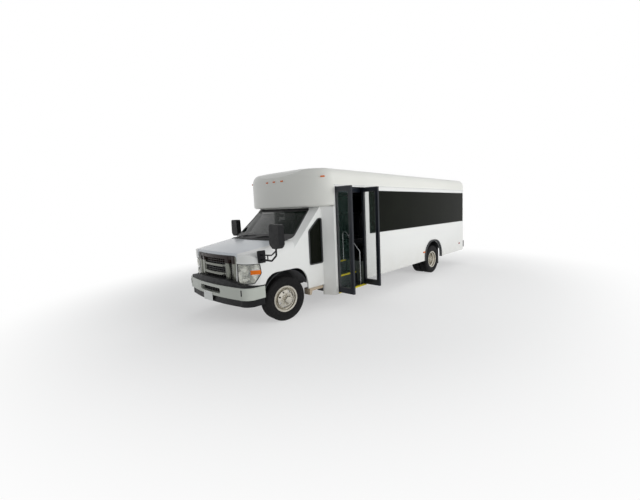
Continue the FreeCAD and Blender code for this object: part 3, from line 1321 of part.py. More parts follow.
os.makedirs("parts", exist_ok=True)
for name, make in PIECES.items():
    shape = make()
    shape.exportStep("parts/" + name + ".step")
    size = shape.BoundBox
    print(f"{name:20s} solids {len(shape.Solids)} valid {shape.isValid()} volume {shape.Volume / 1e6:9.2f} l "
          f"x {size.XMin:7.0f} {size.XMax:7.0f} y {size.YMin:7.0f} {size.YMax:7.0f} z {size.ZMin:6.0f} {size.ZMax:6.0f}")
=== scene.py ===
import math

import bmesh
import bpy
from mathutils import Matrix, Vector


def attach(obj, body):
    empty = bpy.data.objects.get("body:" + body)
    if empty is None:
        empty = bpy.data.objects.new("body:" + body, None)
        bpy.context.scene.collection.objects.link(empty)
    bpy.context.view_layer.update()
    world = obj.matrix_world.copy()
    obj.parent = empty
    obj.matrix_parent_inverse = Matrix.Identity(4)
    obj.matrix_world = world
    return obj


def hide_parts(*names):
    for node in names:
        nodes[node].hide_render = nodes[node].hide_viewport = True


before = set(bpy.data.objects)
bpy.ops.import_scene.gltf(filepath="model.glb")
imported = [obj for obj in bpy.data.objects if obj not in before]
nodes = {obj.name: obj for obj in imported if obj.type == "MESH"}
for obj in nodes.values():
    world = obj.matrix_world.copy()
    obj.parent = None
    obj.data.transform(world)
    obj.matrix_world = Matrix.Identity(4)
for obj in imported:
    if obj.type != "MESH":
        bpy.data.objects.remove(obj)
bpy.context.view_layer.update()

# Sizes shared with the solids, in metres
FRONT_AXLE_X = 3.085
REAR_AXLE_X = -1.741
TYRE_R = 0.372
FRONT_HUB_Y = 0.8815
REAR_TYRE_Y = (0.861, 1.115)
KINGPIN_Y = 0.740
STEER_AT_REST = math.radians(-6.5)
BODY_HALF = 1.219
CAB_HALF = 1.0
DOOR_REAR_X = 1.220
DOOR_FRONT_X = 2.075
REAR_WALL_X = -3.887

# Bowed fronts: X in the middle, X at the edge, and the edge's distance from the middle
NOSE_ARC = (3.845, 3.785, 0.640)
BUMPER_ARC = (3.945, 3.868, 0.800)
HOOD_REAR_ARC = (3.140, 2.985, 0.830)
SCREEN_FOOT_ARC = (3.057, 2.847, 0.914)
SCREEN_HEAD_ARC = (2.402, 2.274, 0.802)

AXES = {"x": Vector((1, 0, 0)), "y": Vector((0, 1, 0)), "z": Vector((0, 0, 1))}
MERGE_DISTANCE = 1e-6
INNER_CORNER_SHARE = 0.6


# Shapes

def joined(*parts):
    """Puts several bmeshes into the first one."""
    whole = parts[0]
    for part in parts[1:]:
        carrier = bpy.data.meshes.new("carrier")
        part.to_mesh(carrier)
        part.free()
        whole.from_mesh(carrier)
        bpy.data.meshes.remove(carrier)
    return whole


def copied(part):
    return part.copy()


def placed(part, matrix):
    bmesh.ops.transform(part, matrix=matrix, verts=part.verts)
    if matrix.determinant() < 0:
        bmesh.ops.reverse_faces(part, faces=part.faces)
    return part


def moved(part, x, y, z):
    return placed(part, Matrix.Translation((x, y, z)))


def mirrored(part):
    return placed(part, Matrix.Diagonal((1, -1, 1, 1)))


def both_sides(part):
    return joined(part, mirrored(copied(part)))


def soften(part, width, steps=2):
    sharp = [edge for edge in part.edges if edge.is_manifold and edge.calc_face_angle() > 0.5]
    bmesh.ops.bevel(part, geom=sharp, offset=width, segments=steps, profile=0.5, affect="EDGES", material=-1,
                    clamp_overlap=True)
    return part


def block(low, high, edge=0.0, steps=2):
    low, high = Vector(low), Vector(high)
    part = bmesh.new()
    bmesh.ops.create_cube(part, size=1, matrix=Matrix.Translation((low + high) / 2)
                          @ Matrix.Diagonal((*(high - low), 1)))
    return soften(part, edge, steps) if edge else part


def pushed(part, faces, way):
    """Grows faces into a closed body along a vector."""
    grown = bmesh.ops.extrude_face_region(part, geom=faces)["geom"]
    bmesh.ops.translate(part, verts=[item for item in grown if isinstance(item, bmesh.types.BMVert)], vec=way)
    bmesh.ops.recalc_face_normals(part, faces=part.faces)
    return part


def spot_at(axis, place, a, b):
    """A point at a place along an axis; a and b are its other two coordinates, in order."""
    spot = [a, b]
    spot.insert("xyz".index(axis), place)
    return spot


def prism(outline, low, high, across="z", edge=0.0, steps=2):
    """An outline pushed out along an axis; its points are the two coordinates that the axis leaves."""
    part = bmesh.new()
    face = part.faces.new([part.verts.new(spot_at(across, low, a, b)) for a, b in outline])
    pushed(part, [face], AXES[across] * (high - low))
    return soften(part, edge, steps) if edge else part


def rectangle(a_low, b_low, a_high, b_high):
    return [(a_low, b_low), (a_high, b_low), (a_high, b_high), (a_low, b_high)]


def corner_of(outline, i):
    """A corner of an outline, with the directions to the corners before and after it."""
    here = Vector(outline[i])
    back = (Vector(outline[i - 1]) - here).normalized()
    ahead = (Vector(outline[(i + 1) % len(outline)]) - here).normalized()
    return here, back, ahead


def rounded(outline, radius, steps=4):
    """The outline with its corners rounded off."""
    points = []
    for i in range(len(outline)):
        here, back, ahead = corner_of(outline, i)
        for k in range(steps + 1):
            t = k / steps
            points.append(tuple(here + back * radius * (1 - t) ** 2 + ahead * radius * t ** 2))
    return points


def ring_between(outer, inner, low, high, across="x"):
    """A rim between two outlines of the same number of points."""
    part = bmesh.new()
    loops = []
    for outline in (outer, inner):
        verts = [part.verts.new(spot_at(across, low, a, b)) for a, b in outline]
        loops.append([part.edges.new(pair) for pair in zip(verts, verts[1:] + verts[:1])])
    bmesh.ops.bridge_loops(part, edges=loops[0] + loops[1])
    return pushed(part, part.faces[:], AXES[across] * (high - low))


def frame_ring(outline, radius, width, low, high, across="x"):
    """A rim of one width inside an outline whose corners are rounded off."""
    inner = []
    for i in range(len(outline)):
        here, back, ahead = corner_of(outline, i)
        inner.append(here + (back + ahead).normalized() * (width / math.sin(back.angle(ahead) / 2)))
    inner_radius = radius * INNER_CORNER_SHARE
    return ring_between(rounded(outline, radius), rounded(inner, inner_radius), low, high, across)


def lathe(profile, steps, closed=True):
    """An outline of (radius, height) points turned about Z."""
    part = bmesh.new()
    verts = [part.verts.new((radius, 0, height)) for radius, height in profile]
    edges = [part.edges.new(pair) for pair in zip(verts, verts[1:])]
    if closed:
        edges.append(part.edges.new((verts[-1], verts[0])))
    bmesh.ops.spin(part, geom=verts + edges, axis=(0, 0, 1), cent=(0, 0, 0), steps=steps, angle=math.tau,
                   use_merge=True)
    bmesh.ops.remove_doubles(part, verts=part.verts, dist=MERGE_DISTANCE)
    bmesh.ops.recalc_face_normals(part, faces=part.faces)
    return part


def aimed(way):
    """Rotation that takes Z to a direction."""
    return Vector(way).to_track_quat("Z", "Y").to_matrix().to_4x4()


def facing(part, axis):
    """Turns a shape made about Z so that Z points along the axis."""
    return placed(part, aimed(axis))


def tube(points, radius, sides=10, smooth=True):
    """A round bar through the points."""
    curve = bpy.data.curves.new("bar", "CURVE")
    curve.dimensions = "3D"
    curve.bevel_depth = radius
    curve.bevel_resolution = max(1, sides // 4)
    curve.resolution_u = 6
    curve.use_fill_caps = True
    spline = curve.splines.new("NURBS" if smooth else "POLY")
    spline.points.add(len(points) - 1)
    for spot, point in zip(spline.points, points):
        spot.co = (*point, 1)
    if smooth:
        spline.order_u = min(3, len(points))
        spline.use_endpoint_u = True
    holder = bpy.data.objects.new("bar", curve)
    mesh = bpy.data.meshes.new_from_object(holder)
    part = bmesh.new()
    part.from_mesh(mesh)
    bmesh.ops.remove_doubles(part, verts=part.verts, dist=MERGE_DISTANCE)
    bmesh.ops.recalc_face_normals(part, faces=part.faces)
    bpy.data.objects.remove(holder)
    bpy.data.curves.remove(curve)
    bpy.data.meshes.remove(mesh)
    return part


def cut(part, **plane):
    """Cuts a whole shape with a plane and returns what lies on it."""
    whole = part.verts[:] + part.edges[:] + part.faces[:]
    return bmesh.ops.bisect_plane(part, geom=whole, dist=MERGE_DISTANCE, **plane)["geom_cut"]


def sliced(part, axis, places):
    """Cuts edge loops across a shape, so that it can be bent."""
    for place in places:
        cut(part, plane_co=AXES[axis] * place, plane_no=AXES[axis])
    return part


def clipped(part, axis, low, high):
    """Takes off what lies below one place and above another; None leaves that side whole."""
    for place, way in ((low, -1), (high, 1)):
        if place is not None:
            cut(part, plane_co=AXES[axis] * place, plane_no=AXES[axis] * way, clear_outer=True)
    return part


def arc_x(y, arc):
    """X of a bowed front at a distance from the middle."""
    nose, edge_x, edge_y = arc
    sag = nose - edge_x
    radius = (edge_y ** 2 + sag ** 2) / (2 * sag)
    return nose - radius + math.sqrt(max(0, radius ** 2 - y ** 2))


def bowed(part, arc):
    """Bends a flat shape to a bowed front."""
    for vert in part.verts:
        vert.co.x += arc_x(vert.co.y, arc) - arc[0]
    return part


def keep(name, part, finishes, body, replaced=(), sharp=32):
    """Turns a finished shape into a piece that rides on a body."""
    mesh = bpy.data.meshes.new(name)
    part.to_mesh(mesh)
    part.free()
    for finish in finishes if isinstance(finishes, list) else [finishes]:
        mesh.materials.append(finish.material)
    mesh.shade_smooth()
    mesh.set_sharp_from_angle(angle=math.radians(sharp))
    piece = bpy.data.objects.new(name, mesh)
    bpy.context.scene.collection.objects.link(piece)
    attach(piece, body)
    if replaced:
        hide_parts(*replaced)
    return piece


# Finishes

def colour(code):
    """Linear colour of a six-digit web colour."""
    parts = [int(code[i:i + 2], 16) / 255 for i in (0, 2, 4)]
    return [p / 12.92 if p <= 0.04045 else ((p + 0.055) / 1.055) ** 2.4 for p in parts] + [1.0]


class Finish:
    """A material on the object's own coordinates: patches of a second colour, uneven gloss, a fine grain."""

    def __init__(self, name, base, gloss, second=None, patch=2.0, metal=0.0, grain=0.0, grain_depth=0.0,
                 gloss_spread=0.08, **sockets):
        self.material = bpy.data.materials.new(name)
        self.material.use_nodes = True
        self.tree = self.material.node_tree
        self.shader = self.tree.nodes["Principled BSDF"]
        self.place = self.add("ShaderNodeTexCoord").outputs["Object"]
        self.shader.inputs["Base Color"].default_value = colour(base)
        self.shader.inputs["Metallic"].default_value = metal
        for socket, value in sockets.items():
            self.shader.inputs[socket.replace("_", " ")].default_value = value
        self.base = None
        if second:
            self.base = self.mixed(self.noise(patch, 4), colour(base), colour(second))
            self.link(self.base, self.shader.inputs["Base Color"])
        spread = self.add("ShaderNodeMapRange")
        self.link(self.noise(patch * 4, 3), spread.inputs["Value"])
        spread.inputs["From Min"].default_value = 0.35
        spread.inputs["From Max"].default_value = 0.65
        spread.inputs["To Min"].default_value = max(0.02, gloss - gloss_spread)
        spread.inputs["To Max"].default_value = gloss + gloss_spread
        self.link(spread.outputs["Result"], self.shader.inputs["Roughness"])
        if grain:
            self.bump(self.noise(grain, 2), grain_depth)

    def add(self, kind):
        return self.tree.nodes.new(kind)

    def link(self, source, target):
        self.tree.links.new(source, target)

    def noise(self, scale, detail):
        node = self.add("ShaderNodeTexNoise")
        node.inputs["Scale"].default_value = scale
        node.inputs["Detail"].default_value = detail
        self.link(self.place, node.inputs["Vector"])
        return node.outputs["Fac"]

    def mixed(self, amount, first, second):
        node = self.add("ShaderNodeMix")
        node.data_type = "RGBA"
        self.link(amount, node.inputs["Factor"])
        for value, socket in ((first, node.inputs["A"]), (second, node.inputs["B"])):
            if isinstance(value, bpy.types.NodeSocket):
                self.link(value, socket)
            else:
                socket.default_value = value
        return node.outputs["Result"]

    def bump(self, height, depth):
        node = self.add("ShaderNodeBump")
        node.inputs["Distance"].default_value = depth
        node.inputs["Strength"].default_value = 1.0
        self.link(height, node.inputs["Height"])
        if self.shader.inputs["Normal"].is_linked:
            self.link(self.shader.inputs["Normal"].links[0].from_socket, node.inputs["Normal"])
        self.link(node.outputs["Normal"], self.shader.inputs["Normal"])
        return self

    def along(self, axis):
        split = self.add("ShaderNodeSeparateXYZ")
        self.link(self.place, split.inputs["Vector"])
        return split.outputs[axis]

    def ramp(self, source, low, high, stops, interpolation="LINEAR"):
        """A colour ramp over a range of a value; stops are (value, colour)."""
        span = self.add("ShaderNodeMapRange")
        span.inputs["From Min"].default_value = low
        span.inputs["From Max"].default_value = high
        self.link(source, span.inputs["Value"])
        node = self.add("ShaderNodeValToRGB")
        node.color_ramp.interpolation = interpolation
        points = node.color_ramp.elements
        while len(points) < len(stops):
            points.new(0.5)
        for point, (value, shade) in zip(points, stops):
            point.position = (value - low) / (high - low)
            point.color = shade
        self.link(span.outputs["Result"], node.inputs["Fac"])
        return node.outputs["Color"]

    def ribs(self, axis, pitch, depth):
        """Parallel moulded ribs across an axis."""
        node = self.add("ShaderNodeTexWave")
        node.bands_direction = axis
        node.inputs["Scale"].default_value = 0.314159 / pitch
        self.link(self.place, node.inputs["Vector"])
        return self.bump(node.outputs["Fac"], depth)

    def lined(self, middle, shade):
        """A second colour on the faces that look towards a place inside the vehicle."""
        away = self.add("ShaderNodeVectorMath")
        away.operation = "SUBTRACT"
        self.link(self.place, away.inputs[0])
        away.inputs[1].default_value = middle
        facing_out = self.add("ShaderNodeVectorMath")
        facing_out.operation = "DOT_PRODUCT"
        self.link(away.outputs["Vector"], facing_out.inputs[0])
        self.link(self.add("ShaderNodeTexCoord").outputs["Normal"], facing_out.inputs[1])
        inside = self.add("ShaderNodeMath")
        inside.operation = "LESS_THAN"
        self.link(facing_out.outputs["Value"], inside.inputs[0])
        inside.inputs[1].default_value = 0.0
        self.base = self.mixed(inside.outputs["Value"], self.base, colour(shade))
        self.link(self.base, self.shader.inputs["Base Color"])
        return self

    def dusty(self, low, high, shade, amount):
        """Road dust that thickens towards the ground."""
        fade = self.ramp(self.along("Z"), low, high, [(low, (amount,) * 3 + (1,)), (high, (0, 0, 0, 1))])
        broken = self.add("ShaderNodeMath")
        broken.operation = "MULTIPLY"
        self.link(fade, broken.inputs[0])
        self.link(self.noise(6.0, 6), broken.inputs[1])
        base = self.base or self.shader.inputs["Base Color"].default_value[:]
        self.base = self.mixed(broken.outputs["Value"], base, colour(shade))
        self.link(self.base, self.shader.inputs["Base Color"])
        return self


def glass(name, tint, clear, roughness=0.03, second=None, IOR=1.5, **sockets):
    """Sheet glass: a gloss skin over a see-through tint, without bending what is behind."""
    pane = Finish(name, tint, roughness, second=second, patch=1.5, gloss_spread=0.01, IOR=IOR, **sockets)
    pane.shader.inputs["Alpha"].default_value = 1 - clear
    return pane


def body_paint(name, base="dcdddb", second="d6d7d4", coat=0.35):
    """White enamel with road dust low down."""
    return Finish(name, base, 0.22, second=second, patch=0.4, gloss_spread=0.012, Coat_Weight=coat,
                  Coat_Roughness=0.06).dusty(0.25, 0.95, "b3ab9d", 0.4)


CAB_MIDDLE = (2.5, 0.0, 0.95)
BODY_MIDDLE = (-1.0, 0.0, 1.5)
CAP_MIDDLE = (1.0, 0.0, 2.2)
WHITE = body_paint("white_paint").lined(CAB_MIDDLE, "2c2d30")
# The hood is the cab's white paint, made darker and bluish grey: painted shade and painted sky reflection on
# its top.
HOOD_SHADED_WHITE = body_paint("hood_paint_painted_shade", "c8cdd2", "c1c6cb", 0.0).lined(CAB_MIDDLE, "2c2d30")
WALL = body_paint("wall_paint").lined(BODY_MIDDLE, "7c7f80")
GELCOAT = Finish("white_gelcoat", "d8d8d2", 0.3, second="d2d3cd", patch=0.5, gloss_spread=0.015,
                 Coat_Weight=0.2, Coat_Roughness=0.12).lined(CAP_MIDDLE, "6f7273")
CHASSIS = Finish("chassis_paint", "1b1b1c", 0.5, second="2a2826", patch=5, grain=60, grain_depth=0.0003)
CAST = Finish("cast_iron", "2b2a29", 0.65, second="3a3633", patch=7, metal=0.4, grain=130,
              grain_depth=0.0006)
TANK = Finish("tank_paint", "161617", 0.42, second="232222", patch=4)
TREAD_RUBBER = Finish("floor_covering", "2c2d2f", 0.6, second="37383a", patch=4).ribs("X", 0.02, 0.0015)
FLOOR_RUBBER = Finish("step_covering", "27282a", 0.55, second="303133", patch=4, grain=300,
                      grain_depth=0.0003)
# Grey-green silver, partly the grille's own tone and partly darkened as painted shade on the grille.
GRILLE_SHADED_SILVER = Finish("grille_silver_painted_shade", "7d7f76", 0.26, second="6c6e65", patch=3, metal=0.55,
                       gloss_spread=0.03)
GRILLE_DARK = Finish("grille_dark", "140d0a", 0.3, second="24120b", patch=3, Specular_IOR_Level=0.15)
MESH_BLACK = Finish("mesh_black", "0b0b0c", 0.5, second="131314", patch=8)
BUMPER = Finish("bumper_paint", "b4b8b0", 0.3, second="a9ada5", patch=2, gloss_spread=0.02, metal=0.1)
BLACK_PLASTIC = Finish("grained_plastic", "090a0c", 0.55, second="0e0f11", patch=5, grain=420,
                       grain_depth=0.0004, Specular_IOR_Level=0.3)
BOARD = Finish("board_plastic", "b7a892", 0.6, second="9c8d79", patch=9, grain=300, grain_depth=0.0006)
RUBBER = Finish("trim_rubber", "2e2f31", 0.7, second="3a3b3d", patch=5, grain=350, grain_depth=0.0004)
FRAME_BLACK = Finish("frame_black", "12161d", 0.34, second="171c25", patch=3, gloss_spread=0.03, grain=600,
                     grain_depth=0.00005, Specular_IOR_Level=0.35)
BAND_BLACK = Finish("band_black", "08090a", 0.14, second="0c0d0e", patch=3, gloss_spread=0.02)
TYRE = Finish("tyre_rubber", "0e0e10", 0.8, second="171616", patch=9, grain=500, grain_depth=0.0004,
              Specular_IOR_Level=0.3)
STAINLESS = Finish("stainless_cover", "d6d2c8", 0.22, second="b9b4a8", patch=11, metal=0.85,
                   gloss_spread=0.1)
CHROME = Finish("lamp_reflector", "d2d2c8", 0.12, second="bfbfb4", patch=9, metal=0.75, gloss_spread=0.03)
DARK_GLASS = glass("privacy_glass", "070906", 0.03, second="14170f", IOR=1.12)
SCREEN_GLASS = glass("screen_glass", "0c1a12", 0.42, IOR=1.2)
DOOR_GLASS = glass("cab_door_glass", "1c2620", 0.62, Specular_IOR_Level=0.3)
CLEAR_GLASS = glass("door_glass", "4d6a60", 0.9, Specular_IOR_Level=0.35)
LENS = glass("lamp_lens", "eef1ee", 0.86, 0.05)
LENS_RIBS = ("Z", 0.006, 0.0008)
AMBER = Finish("amber_lens", "e07005", 0.3, second="cf6003", patch=20,
               Specular_IOR_Level=0.3).ribs(*LENS_RIBS)
RED = Finish("red_lens", "a30f14", 0.16, second="860c10", patch=20,
             Specular_IOR_Level=0.3).ribs(*LENS_RIBS)
CLEAR_LENS = Finish("reverse_lens", "d6d9da", 0.14, second="c4c8ca", patch=20,
                    Coat_Weight=0.6).ribs(*LENS_RIBS)
BLANK = Finish("blank_plate", "dfe1df", 0.35, second="d2d5d3", patch=12)
YELLOW = Finish("yellow_nosing", "d9c81f", 0.5, second="b7a71c", patch=14, grain=260, grain_depth=0.0005)
RAIL = Finish("polished_rail", "b9bbbc", 0.22, second="a5a7a9", patch=9, metal=0.85)
DASH = Finish("dash_plastic", "26272a", 0.62, second="2e2f32", patch=4, grain=500, grain_depth=0.0004)
CLOTH = Finish("seat_cloth", "33363e", 0.85, second="262931", patch=60, grain=900, grain_depth=0.0006,
               Sheen_Weight=0.3)
SEAT_SHELL = Finish("seat_shell", "3a3c40", 0.5, second="44464a", patch=6, grain=400, grain_depth=0.0003)
PIPING = Finish("seat_piping", "1b1c20", 0.6, second="24262b", patch=30)
MIRROR = Finish("mirror_glass", "cfd3d6", 0.03, second="c5c9cc", patch=5, metal=1.0, gloss_spread=0.01)
WELL = Finish("well_panel", "6d7874", 0.5, second="626c69", patch=3, grain=350, grain_depth=0.0003)

CAD_FINISHES = {
    "chassis_frame": CHASSIS, "front_axle": CHASSIS, "rear_axle": CHASSIS,
    "left_side_wall": WALL, "right_side_wall": WALL, "rear_wall": WALL, "rear_exit_door": WALL,
    "cab_shell": WHITE, "hood": HOOD_SHADED_WHITE, "driver_door": WHITE, "roof": GELCOAT, "front_cap": GELCOAT,
    "floor": TREAD_RUBBER, "entry_steps": FLOOR_RUBBER, "grille": GRILLE_SHADED_SILVER, "headlamps": LENS,
    "front_bumper": BUMPER, "windscreen": SCREEN_GLASS, "driver_door_glass": DOOR_GLASS,
    "side_windows": DARK_GLASS, "rear_exit_glass": DARK_GLASS, "entry_glass_front": CLEAR_GLASS,
    "entry_glass_rear": CLEAR_GLASS, "window_frames": BAND_BLACK, "entry_leaf_front": FRAME_BLACK,
    "entry_leaf_rear": FRAME_BLACK, "rear_bumper": BLACK_PLASTIC, "running_boards": BOARD,
    "mirrors": BLACK_PLASTIC, "door_mirror": BLACK_PLASTIC, "marker_lamps": AMBER, "arch_trim": RUBBER,
    "wheel_liners": RUBBER, "engine_block": CAST, "knuckle_left": CAST, "knuckle_right": CAST,
    "fuel_tank": TANK, "tie_rod": TANK, "dashboard": DASH, "steering_wheel": DASH, "driver_seat": CLOTH,
    "passenger_seats": CLOTH, "grab_rails": RAIL,
    "front_tyre_left": TYRE, "front_tyre_right": TYRE, "rear_tyres_left": TYRE, "rear_tyres_right": TYRE,
    "front_wheel_left": STAINLESS, "front_wheel_right": STAINLESS, "rear_wheels_left": STAINLESS,
    "rear_wheels_right": STAINLESS,
}
for node_name, finish in CAD_FINISHES.items():
    solid = nodes[node_name]
    solid.data.materials.clear()
    solid.data.materials.append(finish.material)


# Tyres and wheels

# Half sections as (radius, distance from the middle plane)
TYRE_WALL = [(0.2035, 0.077), (0.2245, 0.091), (0.243, 0.0975), (0.262, 0.1050), (0.286, 0.1115),
             (0.290, 0.1100), (0.312, 0.1085), (0.330, 0.1050), (0.333, 0.1030), (0.352, 0.0985),
             (0.3615, 0.0885)]
TYRE_TREAD = [(0.3655, 0.084), (0.3655, 0.058), (0.359, 0.055), (0.359, 0.048), (0.3655, 0.045),
              (0.3655, 0.020), (0.359, 0.017), (0.359, 0.010), (0.3655, 0.007)]
RIM_LIP = [(0.2225, 0.079), (0.2235, 0.086), (0.2215, 0.0915), (0.215, 0.0925), (0.209, 0.088),
           (0.2045, 0.076), (0.2065, 0.075), (0.2115, 0.0855), (0.2195, 0.0875)]
VALVE = [(0.0, 0.0), (0.0045, 0.0), (0.0045, 0.02), (0.003, 0.022), (0.003, 0.034), (0.0, 0.034)]
TYRE_STEPS = 72
BLOCK_FROM_R = 0.3650
BLOCK_INSET = 0.0022
BLOCK_HEIGHT = 0.0064
LUGS = 8
VALVE_PLACE_R = 0.186


def tread_tyre():
    """Road tyre about Z, with a grooved tread in raised blocks."""
    half = TYRE_WALL + TYRE_TREAD
    part = lathe(half + [(radius, -height) for radius, height in reversed(half)], TYRE_STEPS)
    blocks = [face for face in part.faces if min(v.co.xy.length for v in face.verts) > BLOCK_FROM_R]
    bmesh.ops.inset_individual(part, faces=blocks, thickness=BLOCK_INSET, depth=BLOCK_HEIGHT)
    return part


def lug_covers(radius, face, height):
    """Domed lug covers in a ring about Z."""
    profile = [(0.0, face - 0.002), (0.016, face - 0.002), (0.016, face + 0.006), (0.0125, face + 0.009),
               (0.0125, face + height - 0.006), (0.009, face + height - 0.001), (0.0, face + height)]
    lug = lathe(profile, 12, False)
    whole = bmesh.new()
    for i in range(LUGS):
        turn = Matrix.Rotation(math.radians(360 / LUGS * i), 4, "Z") @ Matrix.Translation((radius, 0, 0))
        whole = joined(whole, placed(copied(lug), turn))
    lug.free()
    return whole


def hub_cap(radius, low, high):
    profile = [(0.0, low), (radius, low), (radius + 0.003, low + 0.004), (radius, low + 0.010),
               (radius - 0.002, high - 0.016), (radius - 0.010, high - 0.004), (radius * 0.5, high),
               (0.0, high)]
    return lathe(profile, 40, False)


def wheel_cover(lugs, cap, valve_z):
    """Stainless cover about Z: lug covers, hub cap, the edge rolled over the rim's flange, and the valve."""
    valve = facing(lathe(VALVE, 8, False), (0, 0, 1))
    moved(valve, VALVE_PLACE_R, 0, valve_z)
    return joined(lug_covers(*lugs), hub_cap(*cap), lathe(RIM_LIP, 64), valve)


def axle_end(side, axis, centre):
    """Matrix that takes a shape about Z to a wheel, Z pointing away from the vehicle."""
    return Matrix.Translation(centre) @ aimed(Vector(axis) * side)


STEERED_AXIS = Vector((-math.sin(STEER_AT_REST), math.cos(STEER_AT_REST), 0))
for side, label in ((1, "left"), (-1, "right")):
    reach = side * (FRONT_HUB_Y - KINGPIN_Y)
    centre = Vector((FRONT_AXLE_X, side * KINGPIN_Y, TYRE_R)) + STEERED_AXIS * reach
    front = axle_end(side, STEERED_AXIS, centre)
    wheel = f"front_wheel_{label}"
    tyre = placed(tread_tyre(), front)
    keep(f"front_tyre_tread_{label}", tyre, TYRE, wheel, [f"front_tyre_{label}"])
    cover = wheel_cover((0.087, 0.120, 0.032), (0.060, 0.163, 0.196), 0.045)
    keep(f"front_wheel_cover_{label}", placed(cover, front), STAINLESS, wheel)

    whole = bmesh.new()
    for y in REAR_TYRE_Y:
        rear = axle_end(side, AXES["y"], (REAR_AXLE_X, side * y, TYRE_R))
        whole = joined(whole, placed(tread_tyre(), rear))
    wheel = f"rear_wheels_{label}"
    keep(f"rear_tyre_treads_{label}", whole, TYRE, wheel, [f"rear_tyres_{label}"])
    outer = axle_end(side, AXES["y"], (REAR_AXLE_X, side * REAR_TYRE_Y[1], TYRE_R))
    cover = wheel_cover((0.106, -0.119, 0.034), (0.093, -0.044, -0.022), 0.03)
    keep(f"rear_wheel_cover_{label}", placed(cover, outer), STAINLESS, wheel)


# Front end

def copy_of(node):
    """A merged copy of a solid's mesh."""
    part = bmesh.new()
    part.from_mesh(nodes[node].data)
    bmesh.ops.remove_doubles(part, verts=part.verts, dist=1e-5)
    return part


def only(part, wanted):
    """Keeps the faces that pass the test."""
    spare = [face for face in part.faces if not wanted(face)]
    bmesh.ops.delete(part, geom=spare, context="FACES")
    return part


def looks_out(face):
    """True on the lamp's outer skin."""
    side = 1 if face.calc_center_median().y > 0 else -1
    return abs(face.normal.z) < 0.6 and (face.normal.x > 0.15 or face.normal.y * side > 0.6)


def sunk(part, depth):
    """Moves a skin inwards along its own normals."""
    part.normal_update()
    for vert in part.verts:
        vert.co -= vert.normal * depth
    return part


def walled(part, thickness):
    bmesh.ops.solidify(part, geom=part.faces[:], thickness=thickness)
    return part


def open_loops(part):
    """The closed chains of points round the open edges of a skin."""
    links = {}
    for edge in part.edges:
        if edge.is_boundary:
            for vert, other in (edge.verts, reversed(edge.verts)):
                links.setdefault(vert, []).append(other)
    loops = []
    while links:
        vert = next(iter(links))
        chain = []
        while vert in links:
            chain.append(vert.co.copy())
            ways = links.pop(vert)
            vert = next((other for other in ways if other in links), None)
        loops.append(chain)
    part.free()
    return loops


GASKET_R = 0.0085
GASKET_SINK = 0.002
AMBER_LIFT = 0.0015
AMBER_Z = (0.882, 0.948)
AMBER_FROM_Y = 0.895
LAMP_X = 3.742
LAMP_Y = 0.775
LAMP_TURN = 0.12
# Height and radius of the two bowls of a lamp
BOWLS = ((0.955, 0.072), (0.800, 0.060))
BULB = [(0.0, -0.058), (0.012, -0.058), (0.012, -0.040), (0.008, -0.036), (0.008, -0.014), (0.0, -0.010)]


def reflector(size):
    """Bowl about Z, open towards +Z."""
    profile = [(0.016, -0.055), (size * 0.6, -0.042), (size * 0.9, -0.018), (size, 0.0), (size + 0.006, 0.0),
               (size + 0.004, -0.02), (size * 0.64, -0.047), (0.016, -0.06)]
    return lathe(profile, 32)


def make_headlamps():
    skin = only(copy_of("headlamps"), looks_out)
    keep("headlamp_lens", walled(copied(skin), 0.003), LENS, "root", ["headlamps"])

    tray = walled(only(copy_of("headlamps"), lambda face: not looks_out(face)), 0.002)
    keep("headlamp_tray", tray, CHROME, "root")

    amber = clipped(sunk(copied(skin), -AMBER_LIFT), "z", *AMBER_Z)
    only(amber, lambda face: abs(face.calc_center_median().y) > AMBER_FROM_Y)
    keep("headlamp_amber", walled(amber, 0.004), AMBER, "root")

    gasket = bmesh.new()
    for loop in open_loops(sunk(skin, GASKET_SINK)):
        gasket = joined(gasket, tube(loop + loop[:1], GASKET_R, 8, False))
    keep("headlamp_gasket", gasket, BLACK_PLASTIC, "root")

    bowls = bmesh.new()
    bulbs = bmesh.new()
    for side in (1, -1):
        for z, size in BOWLS:
            spot = Matrix.Translation((LAMP_X, side * LAMP_Y, z)) @ aimed((1, LAMP_TURN * side, 0))
            bowls = joined(bowls, placed(reflector(size), spot))
            bulbs = joined(bulbs, placed(lathe(BULB, 16, False), spot))
    keep("headlamp_bowls", bowls, CHROME, "root")
    keep("headlamp_bulbs", bulbs, LENS, "root")


BENDS = [y / 10 for y in range(-6, 7)]
GRILLE_TOP_Z = 1.035
GRILLE_TOP_HALF = 0.605
GRILLE_FACE_DEPTH = 0.03


def make_grille():
    """The moulded grille with a dark gloss top, silver surround and posts darkened with painted shade, and a
    black grid behind them.
    """
    part = sliced(sliced(copy_of("grille"), "z", [GRILLE_TOP_Z]), "y", [-GRILLE_TOP_HALF, GRILLE_TOP_HALF])
    for face in part.faces:
        spot = face.calc_center_median()
        if spot.z > GRILLE_TOP_Z and abs(spot.y) < GRILLE_TOP_HALF:
            face.material_index = 1
        elif spot.x <= arc_x(spot.y, NOSE_ARC) - GRILLE_FACE_DEPTH:
            face.material_index = 2
    finishes = [GRILLE_SHADED_SILVER, GRILLE_DARK, MESH_BLACK]
    keep("grille_moulding", part, finishes, "root", ["grille"])
    screen = sliced(block((3.735, -0.60, 0.735), (3.741, 0.60, 1.155), 0.002), "y", BENDS)
    keep("grille_backing", bowed(screen, NOSE_ARC), MESH_BLACK, "root")
    lip = prism([(3.836, 1.160), (3.846, 1.158), (3.846, 1.168), (3.836, 1.169)], -0.61, 0.61, "y")
    keep("grille_top_lip", bowed(sliced(lip, "y", BENDS), NOSE_ARC), MESH_BLACK, "root")


PLATE_HALF_Y = 0.1525
PLATE_HALF_Z = 0.076
PLATE_RIM = 0.006
PLATE_THICK = 0.002
BOLT_Y = 0.089
BOLT_RISE = 0.055
BOLT = [(0.0, 0.0), (0.0075, 0.0), (0.0075, 0.004), (0.005, 0.006), (0.0, 0.006)]


